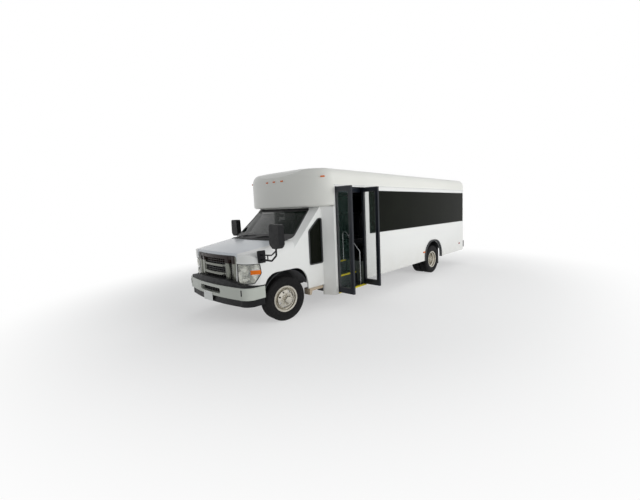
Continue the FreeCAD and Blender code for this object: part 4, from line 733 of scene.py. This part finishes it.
def plate_outline(z, inset, radius):
    half_y = PLATE_HALF_Y - inset
    half_z = PLATE_HALF_Z - inset
    return rounded(rectangle(-half_y, z - half_z, half_y, z + half_z), radius)


def make_plate(name, x, z, way, middle=0.0):
    """A blank number plate with a raised rim and its two bolts."""
    outline = plate_outline(z, 0, 0.012)
    rim = ring_between(outline, plate_outline(z, PLATE_RIM, 0.009), x + way * 0.0019, x + way * 0.0035)
    plate = joined(prism(outline, x, x + way * PLATE_THICK, "x"), rim)
    bolts = bmesh.new()
    for y in (-BOLT_Y, BOLT_Y):
        bolt = facing(lathe(BOLT, 6, False), (way, 0, 0))
        bolts = joined(bolts, moved(bolt, x + way * 0.0018, y, z + BOLT_RISE))
    keep(name, moved(plate, 0, middle, 0), BLANK, "root")
    keep(name + "_bolts", moved(bolts, 0, middle, 0), STAINLESS, "root")


def slab(node, low, high):
    """The part of a solid between two heights, closed again."""
    part = copy_of(node)
    for place, way in ((low, -1), (high, 1)):
        if place is not None:
            rim = cut(part, plane_co=(0, 0, place), plane_no=(0, 0, way), clear_outer=True)
            edges = [item for item in rim if isinstance(item, bmesh.types.BMEdge)]
            bmesh.ops.triangle_fill(part, edges=edges, use_beauty=True, normal=(0, 0, way))
    bmesh.ops.recalc_face_normals(part, faces=part.faces)
    return part


STEP_PAD_LOW_Z = 0.6902
BAR_Z = (0.5002, 0.6898)
VALANCE_HIGH_Z = 0.4998
SLOT_PLACE = (3.8615, 0.858, 0.615)
SLOT_WAY = (0.972, 0.236)
GRID_PITCH = 0.06


def make_bumper():
    """Silver bar between the black step pad and the black valance."""
    keep("bumper_bar", slab("front_bumper", *BAR_Z), BUMPER, "root", ["front_bumper"])
    keep("bumper_pad", slab("front_bumper", STEP_PAD_LOW_Z, None), BLACK_PLASTIC, "root")
    keep("bumper_valance", slab("front_bumper", None, VALANCE_HIGH_Z), BLACK_PLASTIC, "root")


def make_bumper_details():
    """Black slots on the two corners, the grid in the middle slot, and the number plate on its bracket."""
    slots = bmesh.new()
    for side in (1, -1):
        slot = prism(rounded(rectangle(-0.0475, -0.011, 0.0475, 0.011), 0.008), 0, 0.006, "z", 0.001)
        turn = Vector((SLOT_WAY[0], SLOT_WAY[1] * side, 0)).normalized()
        basis = Matrix((AXES["z"], Vector((-turn.y, turn.x, 0)), turn)).transposed().to_4x4()
        place = Matrix.Translation((SLOT_PLACE[0], side * SLOT_PLACE[1], SLOT_PLACE[2]))
        slots = joined(slots, placed(slot, place @ basis))
    keep("bumper_corner_slots", slots, MESH_BLACK, "root")
    grid = sliced(block((3.872, -0.345, 0.545), (3.878, 0.345, 0.648)), "y", BENDS)
    for column in range(-5, 6):
        y = column * GRID_PITCH
        grid = joined(grid, block((3.876, y - 0.004, 0.55), (3.892, y + 0.004, 0.645)))
    keep("bumper_slot_grid", bowed(grid, BUMPER_ARC), MESH_BLACK, "root")
    make_plate("number_plate_front", 3.9462, 0.470, 1, -0.055)
    bracket = block((3.905, -0.155, 0.41), (3.9455, 0.045, 0.498), 0.003)
    keep("number_plate_bracket", bracket, BLACK_PLASTIC, "root")


make_headlamps()
make_grille()
make_bumper()
make_bumper_details()
make_plate("number_plate_rear", REAR_WALL_X - 0.0585, 0.577, -1)


# Windscreen and cowl

SCREEN_FOOT_Z = 1.335
SCREEN_RISE = 0.565
COWL_X = 2.975
COWL_Z = 1.330
HOOD_HALF = 0.83
HOOD_CROWN = 0.038
HOOD_FALL = 0.1728
LOUVRE_PITCH = 0.06
WIPER_PIVOTS = (-0.62, 0.02)


def screen_x(y, z):
    """X of the leaning windscreen's face."""
    share = (z - SCREEN_FOOT_Z) / SCREEN_RISE
    return arc_x(y, SCREEN_FOOT_ARC) * (1 - share) + arc_x(y, SCREEN_HEAD_ARC) * share


def hood_z(x, y):
    """Height of the hood near its rear edge."""
    return COWL_Z + HOOD_CROWN * (1 - (y / HOOD_HALF) ** 2) - HOOD_FALL * (x - COWL_X)


def border_band(skin, width, outset):
    """The strip along the open edge of a skin, inside it or outside it."""
    part = copied(skin)
    strip = set(bmesh.ops.inset_region(part, faces=part.faces[:], thickness=width, use_even_offset=True,
                                       use_outset=outset, use_boundary=True)["faces"])
    return only(part, lambda face: face in strip)


def make_screen_border():
    """Black printed border of the windscreen, deep along the cowl and under the cap."""
    skin = only(copy_of("windscreen"), lambda face: face.normal.x > 0.2 and face.normal.z > 0)
    bands = [(border_band(skin, 0.04, False), 0.0010), (border_band(skin, 0.034, True), 0.0022)]
    bands.append((clipped(copied(skin), "z", None, 1.435), 0.0014))
    bands.append((clipped(skin, "z", 1.825, None), 0.0018))
    border = bmesh.new()
    for band, lift in bands:
        border = joined(border, walled(sunk(band, -lift), 0.003))
    keep("windscreen_border", border, MESH_BLACK, "root")


def make_cowl():
    """Louvred black panel between the hood's rear edge and the glass."""
    part = bmesh.new()
    bmesh.ops.create_grid(part, x_segments=40, y_segments=6, size=0.5)
    for vert in part.verts:
        y = vert.co.x * 2 * HOOD_HALF
        share = vert.co.y + 0.5
        rear = screen_x(y, 1.345) + 0.004
        front = arc_x(y, HOOD_REAR_ARC) - 0.004
        x = rear + (front - rear) * share
        vert.co = (x, y, hood_z(x, y) + 0.004)
    bmesh.ops.recalc_face_normals(part, faces=part.faces)
    bmesh.ops.solidify(part, geom=part.faces[:], thickness=0.004)
    for i in range(-12, 13):
        y = i * LOUVRE_PITCH
        x = arc_x(y, HOOD_REAR_ARC) - 0.05
        z = hood_z(x, y)
        louvre = block((x - 0.022, y - 0.018, z + 0.004), (x + 0.022, y + 0.018, z + 0.011), 0.002)
        part = joined(part, louvre)
    keep("cowl_panel", part, BLACK_PLASTIC, "root")


def on_screen(y, z, lift):
    """A point that stands off the windscreen."""
    return (screen_x(y, z) + lift, y, z + lift * 0.8)


def make_wipers():
    arms = bmesh.new()
    for pivot in WIPER_PIVOTS:
        base = (screen_x(pivot, 1.350) + 0.022, pivot, 1.352)
        knuckle = lathe([(0, -0.012), (0.016, -0.012), (0.016, 0.010), (0.010, 0.016), (0, 0.016)], 16, False)
        arms = joined(arms, moved(knuckle, *base))
        middle = on_screen(pivot + 0.34, 1.392, 0.020)
        arms = joined(arms, tube([base, on_screen(pivot + 0.10, 1.368, 0.026), middle], 0.006, 8))
        blade = [on_screen(pivot + 0.06 + 0.09 * i, 1.372 + 0.006 * i, 0.008) for i in range(7)]
        arms = joined(arms, tube(blade, 0.0055, 8))
    keep("wipers", arms, BLACK_PLASTIC, "root")


def make_cab_fittings():
    """Inside mirror, sun visors and the lining under the cap."""
    mirror = joined(block((2.405, -0.125, 1.725), (2.425, 0.125, 1.790), 0.008),
                    tube([(2.425, 0, 1.775), (2.450, 0, 1.800), (2.488, 0, 1.806)], 0.007, 8))
    keep("inside_mirror", mirror, BLACK_PLASTIC, "root")
    glass_face = prism(rounded(rectangle(-0.115, 1.732, 0.115, 1.783), 0.012), 2.4015, 2.4045, "x")
    keep("inside_mirror_glass", glass_face, MIRROR, "root")
    visors = bmesh.new()
    for side in (1, -1):
        visor = block((2.18, side * 0.42 - 0.2, 1.872), (2.33, side * 0.42 + 0.2, 1.890), 0.007)
        visors = joined(visors, visor)
    keep("sun_visors", visors, SEAT_SHELL, "root")
    headliner = block((2.110, -0.76, 1.893), (2.345, 0.76, 1.899), 0.002)
    keep("cab_headliner", headliner, DASH, "root")


make_screen_border()
make_cowl()
make_wipers()
make_cab_fittings()


# Side glass

PANES = 6
PANE_JOINT = 0.003
BAND_REAR = -3.838
BAND_FRONT = 1.058
BAND_Z = (1.323, 2.194)
CAB_LEAN_FROM_Z = 1.160
CAB_LEAN = 0.140 / 0.740


def make_window_band():
    """Flush dark panes over the window frames, a fine joint between them."""
    pitch = (BAND_FRONT - BAND_REAR) / PANES
    low, high = BAND_Z
    panes = bmesh.new()
    for i in range(PANES):
        rear = BAND_REAR + i * pitch + PANE_JOINT / 2
        outline = rounded(rectangle(rear, low, rear + pitch - PANE_JOINT, high), 0.018)
        panes = joined(panes, prism(outline, BODY_HALF + 0.0004, BODY_HALF + 0.0044, "y", 0.0008, 1))
    keep("window_band_glass", both_sides(panes), DARK_GLASS, "root")
    outer = rounded(rectangle(BAND_REAR - 0.009, low - 0.007, BAND_FRONT + 0.009, high + 0.007), 0.024)
    inner = rounded(rectangle(BAND_REAR, low, BAND_FRONT, high), 0.018)
    seal = ring_between(outer, inner, BODY_HALF + 0.0002, BODY_HALF + 0.0056, "y")
    keep("window_band_seal", both_sides(seal), RUBBER, "root")


def leaned(part):
    """Lays a flat shape at y = 0 on the leaning side of the cab's upper half."""
    for vert in part.verts:
        vert.co.y += CAB_HALF - max(0.0, vert.co.z - CAB_LEAN_FROM_Z) * CAB_LEAN
    return part


def make_window_seals():
    quarter = [(2.245, 0.862), (2.570, 0.862), (2.570, 1.483), (2.333, 1.698), (2.245, 1.698)]
    ring = frame_ring(quarter, 0.042, 0.020, CAB_HALF - 0.010, CAB_HALF + 0.0155, "y")
    keep("quarter_window_seal", ring, RUBBER, "root")
    driver = [(1.775, 1.290), (2.630, 1.290), (2.235, 1.790), (1.775, 1.790)]
    ring = leaned(sliced(frame_ring(driver, 0.04, 0.016, 0.0, 0.008, "y"), "z", [1.35, 1.45, 1.55, 1.65]))
    keep("driver_window_seal", mirrored(ring), RUBBER, "driver_door")
    ring = frame_ring(rectangle(-0.334, 1.380, 0.334, 2.084), 0.05, 0.018, -3.9025, -3.870)
    keep("rear_exit_window_seal", ring, RUBBER, "rear_exit_door")


make_window_band()
make_window_seals()


# Entry

# Edge and height of each tread
TREADS = ((1.215, 0.285), (0.950, 0.5175), (0.681, 0.750))
LEAVES = (("entry_leaf_front", 2.046), ("entry_leaf_rear", 1.249))
LEAF_EDGE_Y = 1.5875
LEAF_SEAL_HALF = 0.0245


def make_nosings():
    """Yellow edge strips on the three treads."""
    strips = bmesh.new()
    for y, z in TREADS:
        outline = [(y - 0.045, z + 0.0003), (y + 0.0003, z + 0.0003), (y + 0.0003, z - 0.024),
                   (y + 0.0025, z - 0.024), (y + 0.0025, z + 0.0026), (y - 0.045, z + 0.0026)]
        strips = joined(strips, prism(outline, DOOR_REAR_X + 0.012, DOOR_FRONT_X - 0.012, "x"))
    keep("step_nosings", strips, YELLOW, "root")


def make_well_linings():
    """Moulded panels on the two sides of the step well."""
    outline = [(0.960, 0.290), (1.165, 0.290), (1.165, 0.745), (0.690, 0.745), (0.690, 0.523), (0.960, 0.523)]
    panels = joined(prism(outline, DOOR_REAR_X + 0.0005, DOOR_REAR_X + 0.004, "x", 0.001),
                    prism(outline, DOOR_FRONT_X - 0.004, DOOR_FRONT_X - 0.0005, "x", 0.001))
    keep("well_linings", panels, WELL, "root")


def make_door_header():
    """Cover over the linkage that drives the leaves, its front edge rounded."""
    outline = rounded([(1.045, 2.285), (1.165, 2.285), (1.165, 2.150), (1.045, 2.190)], 0.02)
    cover = prism(outline, DOOR_REAR_X + 0.03, DOOR_FRONT_X - 0.03, "x", 0.003)
    keep("door_header_cover", cover, FRAME_BLACK, "root")


def make_leaf_edges():
    """Soft rubber on the meeting edges of the two leaves and round their glass."""
    for name, x in LEAVES:
        edge = tube([(x, LEAF_EDGE_Y, 0.300), (x, LEAF_EDGE_Y, 2.248)], 0.0055, 8, False)
        keep(name + "_edge", edge, RUBBER, name)
        window = rectangle(1.231, 0.387, 1.5325, 2.180)
        ring = frame_ring(window, 0.045, 0.012, x - LEAF_SEAL_HALF, x + LEAF_SEAL_HALF)
        keep(name + "_seal", ring, RUBBER, name)


make_nosings()
make_well_linings()
make_door_header()
make_leaf_edges()


# Lamps, mirrors, handles and trim

# Name, body, lowest y, x of the rear face, lowest z and side of each mirror head
MIRROR_HEADS = (("left_mirror_glass", "root", 1.310, 3.515, 1.305, 1),
                ("door_mirror_glass", "driver_door", 1.290, 2.520, 1.325, -1))
MIRROR_PANES = ((0.125, 0.340), (0.018, 0.112))
TAIL_LAMP_Y = 1.085
TAIL_LAMP_Z = (0.820, 0.945, 1.070)
TAIL_RIM = [(0.0505, 0.0), (0.061, 0.0), (0.059, 0.010), (0.054, 0.014), (0.0505, 0.013)]
SIDE_LAMPS_FROM_X = -3.4
REAR_LAMPS_TO_X = -3.8
AMBER_TAIL_Z = (0.885, 1.01)
CLEAR_TAIL_FROM_Z = 0.7
DRIP_Z = 2.2905


def lamp_kind(face):
    """Colour of the marker or tail lamp that a face belongs to."""
    spot = face.calc_center_median()
    behind = spot.x < REAR_LAMPS_TO_X
    low, high = AMBER_TAIL_Z
    if spot.x > SIDE_LAMPS_FROM_X or (behind and low < spot.z < high):
        return "amber"
    return "clear" if behind and CLEAR_TAIL_FROM_Z < spot.z <= low else "red"


def make_markers():
    """Amber lamps ahead and along the sides, red ones behind, and the round lamps in three colours."""
    whole = copy_of("marker_lamps")
    for kind, finish in (("amber", AMBER), ("red", RED), ("clear", CLEAR_LENS)):
        part = only(copied(whole), lambda face: lamp_kind(face) == kind)
        replaced = ["marker_lamps"] if kind == "amber" else ()
        keep(f"marker_lenses_{kind}", part, finish, "root", replaced)
    whole.free()
    rims = bmesh.new()
    for y in (TAIL_LAMP_Y, -TAIL_LAMP_Y):
        for z in TAIL_LAMP_Z:
            rims = joined(rims, moved(facing(lathe(TAIL_RIM, 40), (-1, 0, 0)), REAR_WALL_X - 0.0005, y, z))
    keep("tail_lamp_rims", rims, BLACK_PLASTIC, "root")


def make_mirror_glass():
    """Flat glass above a small convex one, on the rear face of each head."""
    for name, body, low_y, face_x, low_z, side in MIRROR_HEADS:
        panes = bmesh.new()
        for bottom, top in MIRROR_PANES:
            outline = rounded(rectangle(low_y + 0.018, low_z + bottom, low_y + 0.212, low_z + top), 0.016)
            panes = joined(panes, prism(outline, face_x - 0.004, face_x - 0.0003, "x", 0.0015))
        keep(name, panes if side == 1 else mirrored(panes), MIRROR, body)


def make_handles():
    """Handles of the driver's door and the rear exit, and the fuel filler's flap."""
    pull = joined(block((1.795, -1.0135, 1.045), (1.965, -1.0113, 1.115), 0.0008),
                  block((1.800, -1.0370, 1.068), (1.950, -1.0120, 1.092), 0.006))
    keep("driver_door_handle", pull, BLACK_PLASTIC, "driver_door")
    rear = joined(block((-3.902, 0.285, 1.150), (-3.8985, 0.385, 1.245), 0.001),
                  block((-3.928, 0.300, 1.185), (-3.9015, 0.375, 1.205), 0.005))
    keep("rear_exit_handle", rear, BLACK_PLASTIC, "rear_exit_door")
    outline = rounded(rectangle(-3.06, 0.80, -2.88, 0.98), 0.02)
    flap = prism(outline, -BODY_HALF - 0.0035, -BODY_HALF - 0.0005, "y", 0.001)
    keep("filler_flap", flap, WALL, "root")


def make_body_mouldings():
    """Drip mouldings along the tops of the walls, and joint strips down the rear corners."""
    strips = bmesh.new()
    for side in (1, -1):
        wall_y = side * (BODY_HALF + 0.0005)
        strips = joined(strips, tube([(-3.880, wall_y, DRIP_Z), (2.088, wall_y, DRIP_Z)], 0.007, 8, False))
        x = REAR_WALL_X - 0.0005
        y = side * 1.165
        strips = joined(strips, tube([(x, y, 0.70), (x, y, 2.285)], 0.005, 8, False))
    keep("body_mouldings", strips, WHITE, "root")


def make_bumper_ends():
    """Rubber buffers on the two ends of the rear bumper."""
    end = block((-3.9445, 1.120, 0.475), (-3.8885, 1.226, 0.680), 0.010)
    keep("rear_bumper_ends", both_sides(end), BLACK_PLASTIC, "root")


make_markers()
make_mirror_glass()
make_handles()
make_body_mouldings()
make_bumper_ends()


# Seats

PAD_VOXEL = 0.015
PAD_SWELL = 0.014
PAD_PRESSURE = 4
CLOTH_STEPS = 20
CHANNELS = 8
CHANNEL_DEPTH = 0.006
CHANNEL_WIDTH = 0.012
CUSHION_HALF_X = 0.232
PAD_DEPTH = 0.115
BACK_HEIGHT = 0.65
BACK_DEPTH = 0.088
BACK_LEAN = 0.16
BACK_SHIFT = -0.125
BACK_RISE = 0.070
SEAT_LIFT = 0.004
SEAT_ROWS = 7
SEAT_FIRST_X = -3.300
SEAT_PITCH = 0.760
SEAT_Y = 0.720
SEAT_WIDTH = 0.86
DRIVER_WIDTH = 0.52
DRIVER_PLACE = (2.130, -0.520)
DRIVER_BASE = 0.620
DRIVER_LEG = 0.300


def settled(pad):
    """The mesh of a piece with its modifiers worked out."""
    graph = bpy.context.evaluated_depsgraph_get()
    return bpy.data.meshes.new_from_object(pad.evaluated_get(graph))


def stuffed(part):
    """A padded form: remeshed, then swollen a little by cloth pressure."""
    mesh = bpy.data.meshes.new("pad")
    part.to_mesh(mesh)
    part.free()
    pad = bpy.data.objects.new("pad", mesh)
    bpy.context.scene.collection.objects.link(pad)
    remesh = pad.modifiers.new("remesh", "REMESH")
    remesh.mode = "VOXEL"
    remesh.voxel_size = PAD_VOXEL
    shape = settled(pad)
    pad.modifiers.clear()
    pad.data = shape
    start = [vert.co.copy() for vert in shape.vertices]
    cloth = pad.modifiers.new("cloth", "CLOTH")
    cloth.settings.use_pressure = True
    cloth.settings.uniform_pressure_force = PAD_PRESSURE
    cloth.settings.effector_weights.gravity = 0
    for step in range(1, CLOTH_STEPS + 1):
        bpy.context.scene.frame_set(step)
    swollen = settled(pad)
    bpy.context.scene.frame_set(1)
    pad.modifiers.clear()
    for vert, old, new in zip(shape.vertices, start, swollen.vertices):
        move = new.co - old
        vert.co = old + move * min(1.0, PAD_SWELL / max(move.length, 1e-9))
    result = bmesh.new()
    result.from_mesh(shape)
    bpy.data.objects.remove(pad)
    for _ in range(2):
        bmesh.ops.smooth_vert(result, verts=result.verts, factor=0.5, use_axis_x=True, use_axis_y=True,
                              use_axis_z=True)
    return result


def channelled(part, axis, width):
    """Presses sewn channels into the face that a person touches."""
    pitch = width / CHANNELS
    part.normal_update()
    for vert in part.verts:
        facing_up = max(0.0, vert.normal["xyz".index(axis)])
        place = (vert.co.y + width / 2) % pitch
        near = min(place, pitch - place)
        vert.co -= vert.normal * CHANNEL_DEPTH * facing_up * math.exp(-(near / CHANNEL_WIDTH) ** 2)
    return part


def make_cushion(width):
    half = width / 2 - 0.010
    outline = [(-CUSHION_HALF_X + 0.012, 0.010), (CUSHION_HALF_X - 0.030, 0.010),
               (CUSHION_HALF_X - 0.012, 0.040), (CUSHION_HALF_X - 0.016, PAD_DEPTH - 0.024),
               (-CUSHION_HALF_X + 0.012, PAD_DEPTH - 0.010)]
    form = prism(rounded(outline, 0.012), -half, half, "y", 0.012)
    return channelled(stuffed(form), "z", width)


def make_back(width):
    half = width / 2 - 0.010
    outline = [(-BACK_DEPTH + 0.008, 0.0), (-0.008, 0.0), (-0.004, 0.30), (-0.010, BACK_HEIGHT - 0.05),
               (-0.030, BACK_HEIGHT - 0.012), (-BACK_DEPTH + 0.008, BACK_HEIGHT - 0.012)]
    form = prism(rounded(outline, 0.01), -half, half, "y", 0.012)
    return channelled(stuffed(form), "x", width)


def reclined(part, x, y, top):
    """Stands a back's shape behind a cushion's top and leans it rearwards."""
    for vert in part.verts:
        vert.co.x -= vert.co.z * BACK_LEAN
    return moved(part, x + BACK_SHIFT, y, top + BACK_RISE)


def seat_shell(width):
    half = width / 2 - 0.003
    outline = [(-BACK_DEPTH - 0.012, -0.03), (-BACK_DEPTH, -0.03), (-BACK_DEPTH, BACK_HEIGHT),
               (-BACK_DEPTH - 0.006, BACK_HEIGHT)]
    return prism(outline, -half, half, "y", 0.002)


def seat_piping(width):
    """Piping round the rim of a back."""
    half = width / 2 - 0.012
    x = -BACK_DEPTH + 0.004
    corners = [(x, -half, 0.0), (x, -half, BACK_HEIGHT - 0.03), (x, -half + 0.03, BACK_HEIGHT),
               (x, half - 0.03, BACK_HEIGHT), (x, half, BACK_HEIGHT - 0.03), (x, half, 0.0)]
    return tube(corners, 0.005, 8, False)


def seat_frame(feet, leg):
    """Two folded feet and the rails under a cushion, standing at z = 0."""
    frame_part = bmesh.new()
    for y in feet:
        frame_part = joined(frame_part, block((-0.13, y - 0.022, 0.0004), (0.13, y + 0.022, 0.012), 0.003),
                            block((-0.035, y - 0.014, 0.012), (0.035, y + 0.014, leg - 0.03), 0.004),
                            block((-0.19, y - 0.016, leg - 0.034), (0.20, y + 0.016, leg - 0.006), 0.004))
    low, high = min(feet) - 0.05, max(feet) + 0.05
    for x in (-0.18, 0.16):
        frame_part = joined(frame_part, block((x, low, leg - 0.030), (x + 0.03, high, leg + 0.004), 0.004))
    return frame_part


def grab_bar(width, side):
    """Handle on the aisle corner of a back."""
    y = -side * (width / 2 - 0.10)
    low, high = BACK_HEIGHT - 0.02, BACK_HEIGHT + 0.035
    points = [(-0.07, y - 0.06, low), (-0.07, y - 0.06, high), (-0.07, y + 0.06, high),
              (-0.07, y + 0.06, low)]
    return tube(points, 0.009, 8)


def seat_places():
    """Side, x, base height, leg and feet of each passenger seat, as the floor carries them."""
    for row in range(SEAT_ROWS):
        x = SEAT_FIRST_X + row * SEAT_PITCH
        on_box = abs(x - REAR_AXLE_X) < SEAT_PITCH / 2
        base, leg = (0.930, 0.120) if on_box else (0.750, 0.260)
        feet = (0.740, 0.960) if on_box else (0.540, 0.900)
        for side in (1, -1):
            beside_door = side == 1 and x + 0.230 > DOOR_REAR_X - 0.1
            if not beside_door:
                yield side, x, base, leg, [side * y for y in feet]


def make_passenger_seats():
    cushion, back = make_cushion(SEAT_WIDTH), make_back(SEAT_WIDTH)
    shell, piping = seat_shell(SEAT_WIDTH), seat_piping(SEAT_WIDTH)
    groups = {name: bmesh.new() for name in ("cushions_left", "cushions_right", "backs_left", "backs_right")}
    shells, pipes, frames, bars = bmesh.new(), bmesh.new(), bmesh.new(), bmesh.new()
    for side, x, base, leg, feet in seat_places():
        cushions = "cushions_left" if side == 1 else "cushions_right"
        backs = "backs_left" if side == 1 else "backs_right"
        y = side * SEAT_Y
        top = base + leg
        groups[cushions] = joined(groups[cushions], moved(copied(cushion), x, y, top + SEAT_LIFT))
        groups[backs] = joined(groups[backs], reclined(copied(back), x, y, top))
        shells = joined(shells, reclined(copied(shell), x, y, top))
        pipes = joined(pipes, reclined(copied(piping), x, y, top))
        bars = joined(bars, reclined(grab_bar(SEAT_WIDTH, side), x, y, top))
        frames = joined(frames, moved(seat_frame(feet, leg), x, 0, base))
    for part in (cushion, back, shell, piping):
        part.free()
    for name, part in groups.items():
        replaced = ["passenger_seats"] if name == "cushions_left" else ()
        pads = keep("seat_" + name, part, CLOTH, "root", replaced, 180)
    keep("seat_shells", shells, SEAT_SHELL, "root")
    keep("seat_pipings", pipes, PIPING, "root")
    keep("seat_frames", frames, CHASSIS, "root")
    keep("seat_grab_bars", bars, BLACK_PLASTIC, "root")


def make_driver_seat():
    x, y = DRIVER_PLACE
    top = DRIVER_BASE + DRIVER_LEG
    cushion = moved(make_cushion(DRIVER_WIDTH), x, y, top + SEAT_LIFT)
    cushion = keep("driver_cushion", cushion, CLOTH, "root", ["driver_seat"], 180)
    back = reclined(make_back(DRIVER_WIDTH), x, y, top)
    back = keep("driver_back", back, CLOTH, "root", (), 180)
    shell = reclined(seat_shell(DRIVER_WIDTH), x, y, top)
    keep("driver_seat_shell", shell, SEAT_SHELL, "root")
    frame_part = moved(seat_frame((y - 0.12, y + 0.12), DRIVER_LEG), x, 0, DRIVER_BASE)
    keep("driver_seat_frame", frame_part, CHASSIS, "root")


make_passenger_seats()
make_driver_seat()


# Dashboard

DIAL = [(0.0, 0.0), (0.050, 0.0), (0.056, 0.010), (0.052, 0.012), (0.047, 0.004), (0.0, 0.004)]
KNOB = [(0.0, 0.0), (0.018, 0.0), (0.016, 0.014), (0.0, 0.016)]


def make_dash_details():
    """Instrument hood with two plain dials, air vents, and the radio and heater panel."""
    outline = [(2.625, 1.295), (2.560, 1.330), (2.600, 1.352), (2.720, 1.318), (2.720, 1.295)]
    hood = prism(outline, -0.72, -0.24, "y", 0.008)
    panel = block((2.600, -0.70, 1.215), (2.640, -0.26, 1.300), 0.006)
    centre = prism([(2.585, 1.200), (2.612, 1.285), (2.650, 1.285), (2.650, 1.200)], -0.14, 0.14, "y", 0.004)
    keep("dash_hood", joined(hood, panel, centre), DASH, "root")
    dials = bmesh.new()
    for y in (-0.56, -0.40):
        dial = facing(lathe(DIAL, 32, False), (-1, 0, 0.2))
        dials = joined(dials, moved(dial, 2.599, y, 1.262))
    keep("dash_dials", dials, CLEAR_LENS, "root")
    knobs = bmesh.new()
    for y in (-0.09, 0.0, 0.09):
        knob = facing(lathe(KNOB, 20, False), (-1, 0, 0.3))
        knobs = joined(knobs, moved(knob, 2.592, y, 1.228))
    keep("dash_knobs", knobs, BLACK_PLASTIC, "root")
    vents = bmesh.new()
    for y in (-0.82, -0.19, 0.19, 0.76):
        for i in range(4):
            z = 1.205 + i * 0.014
            vents = joined(vents, block((2.592, y - 0.045, z), (2.612, y + 0.045, z + 0.005), 0.0015))
    keep("dash_vents", vents, MESH_BLACK, "root")


make_dash_details()


# Camera, light and floor

# The camera fitted to the photograph: its place, its own axes in the vehicle's frame, lens and shift
CAMERA_PLACE = (6.420, 5.323, 1.864)
CAMERA_RIGHT = (-0.6501, 0.7590, -0.0345)
CAMERA_UP = (-0.1020, -0.0422, 0.9939)
CAMERA_BACK = (0.7529, 0.6497, 0.1049)
CAMERA_LENS = 18.248
CAMERA_SHIFT = (-0.0490, -0.0128)
SKY_STRENGTH = 0.36
FLOOR_HALF = 60
FADE_FROM = 4.0
FADE_TO = 7.5
FLOOR_LIFT = 0.45


def make_camera():
    data = bpy.data.cameras.new("view")
    camera = bpy.data.objects.new("view", data)
    bpy.context.scene.collection.objects.link(camera)
    turn = Matrix((CAMERA_RIGHT, CAMERA_UP, CAMERA_BACK)).transposed().to_4x4()
    camera.matrix_world = Matrix.Translation(CAMERA_PLACE) @ turn
    data.sensor_width = 36.0
    data.lens = CAMERA_LENS
    data.shift_x, data.shift_y = CAMERA_SHIFT
    data.clip_end = 100
    bpy.context.scene.camera = camera


def make_lamp(name, place, target, size, power):
    data = bpy.data.lights.new(name, "AREA")
    data.shape = "RECTANGLE"
    data.size, data.size_y = size
    data.energy = power
    lamp = bpy.data.objects.new(name, data)
    lamp.location = place
    lamp.rotation_euler = (Vector(target) - Vector(place)).to_track_quat("-Z", "Y").to_euler()
    lamp.visible_glossy = False
    bpy.context.scene.collection.objects.link(lamp)


def seen_rays(tree):
    """1 for what the camera sees, straight or in glass and metal."""
    path = tree.nodes.new("ShaderNodeLightPath")
    total = path.outputs["Is Camera Ray"]
    for name in ("Is Glossy Ray", "Is Transmission Ray"):
        larger = tree.nodes.new("ShaderNodeMath")
        larger.operation = "MAXIMUM"
        tree.links.new(total, larger.inputs[0])
        tree.links.new(path.outputs[name], larger.inputs[1])
        total = larger.outputs["Value"]
    return total


def make_world():
    """A soft even sky for light, seen as plain white."""
    world = bpy.data.worlds.new("studio")
    bpy.context.scene.world = world
    world.use_nodes = True
    tree = world.node_tree
    sky = tree.nodes["Background"]
    sky.inputs["Color"].default_value = (0.95, 0.97, 1.0, 1)
    sky.inputs["Strength"].default_value = SKY_STRENGTH
    white = tree.nodes.new("ShaderNodeBackground")
    white.inputs["Strength"].default_value = 1.0
    white.inputs["Color"].default_value = (1, 1, 1, 1)
    pick = tree.nodes.new("ShaderNodeMixShader")
    tree.links.new(seen_rays(tree), pick.inputs[0])
    tree.links.new(sky.outputs[0], pick.inputs[1])
    tree.links.new(white.outputs[0], pick.inputs[2])
    tree.links.new(pick.outputs[0], tree.nodes["World Output"].inputs["Surface"])


def make_floor():
    """A pale floor that keeps the shadow near the vehicle and fades to white further out."""
    part = bmesh.new()
    bmesh.ops.create_grid(part, x_segments=1, y_segments=1, size=FLOOR_HALF)
    mesh = bpy.data.meshes.new("studio_floor")
    part.to_mesh(mesh)
    part.free()
    ground = bpy.data.objects.new("studio_floor", mesh)
    bpy.context.scene.collection.objects.link(ground)
    floor = Finish("studio_floor", "f4f4f3", 0.9, gloss_spread=0.02, Specular_IOR_Level=0.1)
    tree = floor.tree
    reach = floor.add("ShaderNodeVectorMath")
    reach.operation = "LENGTH"
    floor.link(floor.place, reach.inputs[0])
    fade = floor.add("ShaderNodeMapRange")
    fade.interpolation_type = "SMOOTHSTEP"
    fade.inputs["From Min"].default_value = FADE_FROM
    fade.inputs["From Max"].default_value = FADE_TO
    fade.inputs["To Min"].default_value = FLOOR_LIFT
    floor.link(reach.outputs["Value"], fade.inputs["Value"])
    amount = floor.add("ShaderNodeMath")
    amount.operation = "MULTIPLY"
    floor.link(fade.outputs["Result"], amount.inputs[0])
    floor.link(seen_rays(tree), amount.inputs[1])
    white = floor.add("ShaderNodeEmission")
    white.inputs["Strength"].default_value = 1.0
    pick = floor.add("ShaderNodeMixShader")
    floor.link(amount.outputs["Value"], pick.inputs[0])
    floor.link(floor.shader.outputs["BSDF"], pick.inputs[1])
    floor.link(white.outputs["Emission"], pick.inputs[2])
    floor.link(pick.outputs["Shader"], tree.nodes["Material Output"].inputs["Surface"])
    mesh.materials.append(floor.material)


make_camera()
make_world()
make_floor()
make_lamp("key", (-1.0, 12.0, 4.2), (-0.5, 0.5, 1.2), (9, 4), 900)
make_lamp("front", (12.0, 4.0, 2.0), (2.5, 0.3, 1.3), (5, 3), 130)
make_lamp("back", (-8.0, -7.0, 5.0), (-1.0, 0, 1.0), (6, 4), 330)
bpy.context.scene.view_settings.view_transform = "Standard"
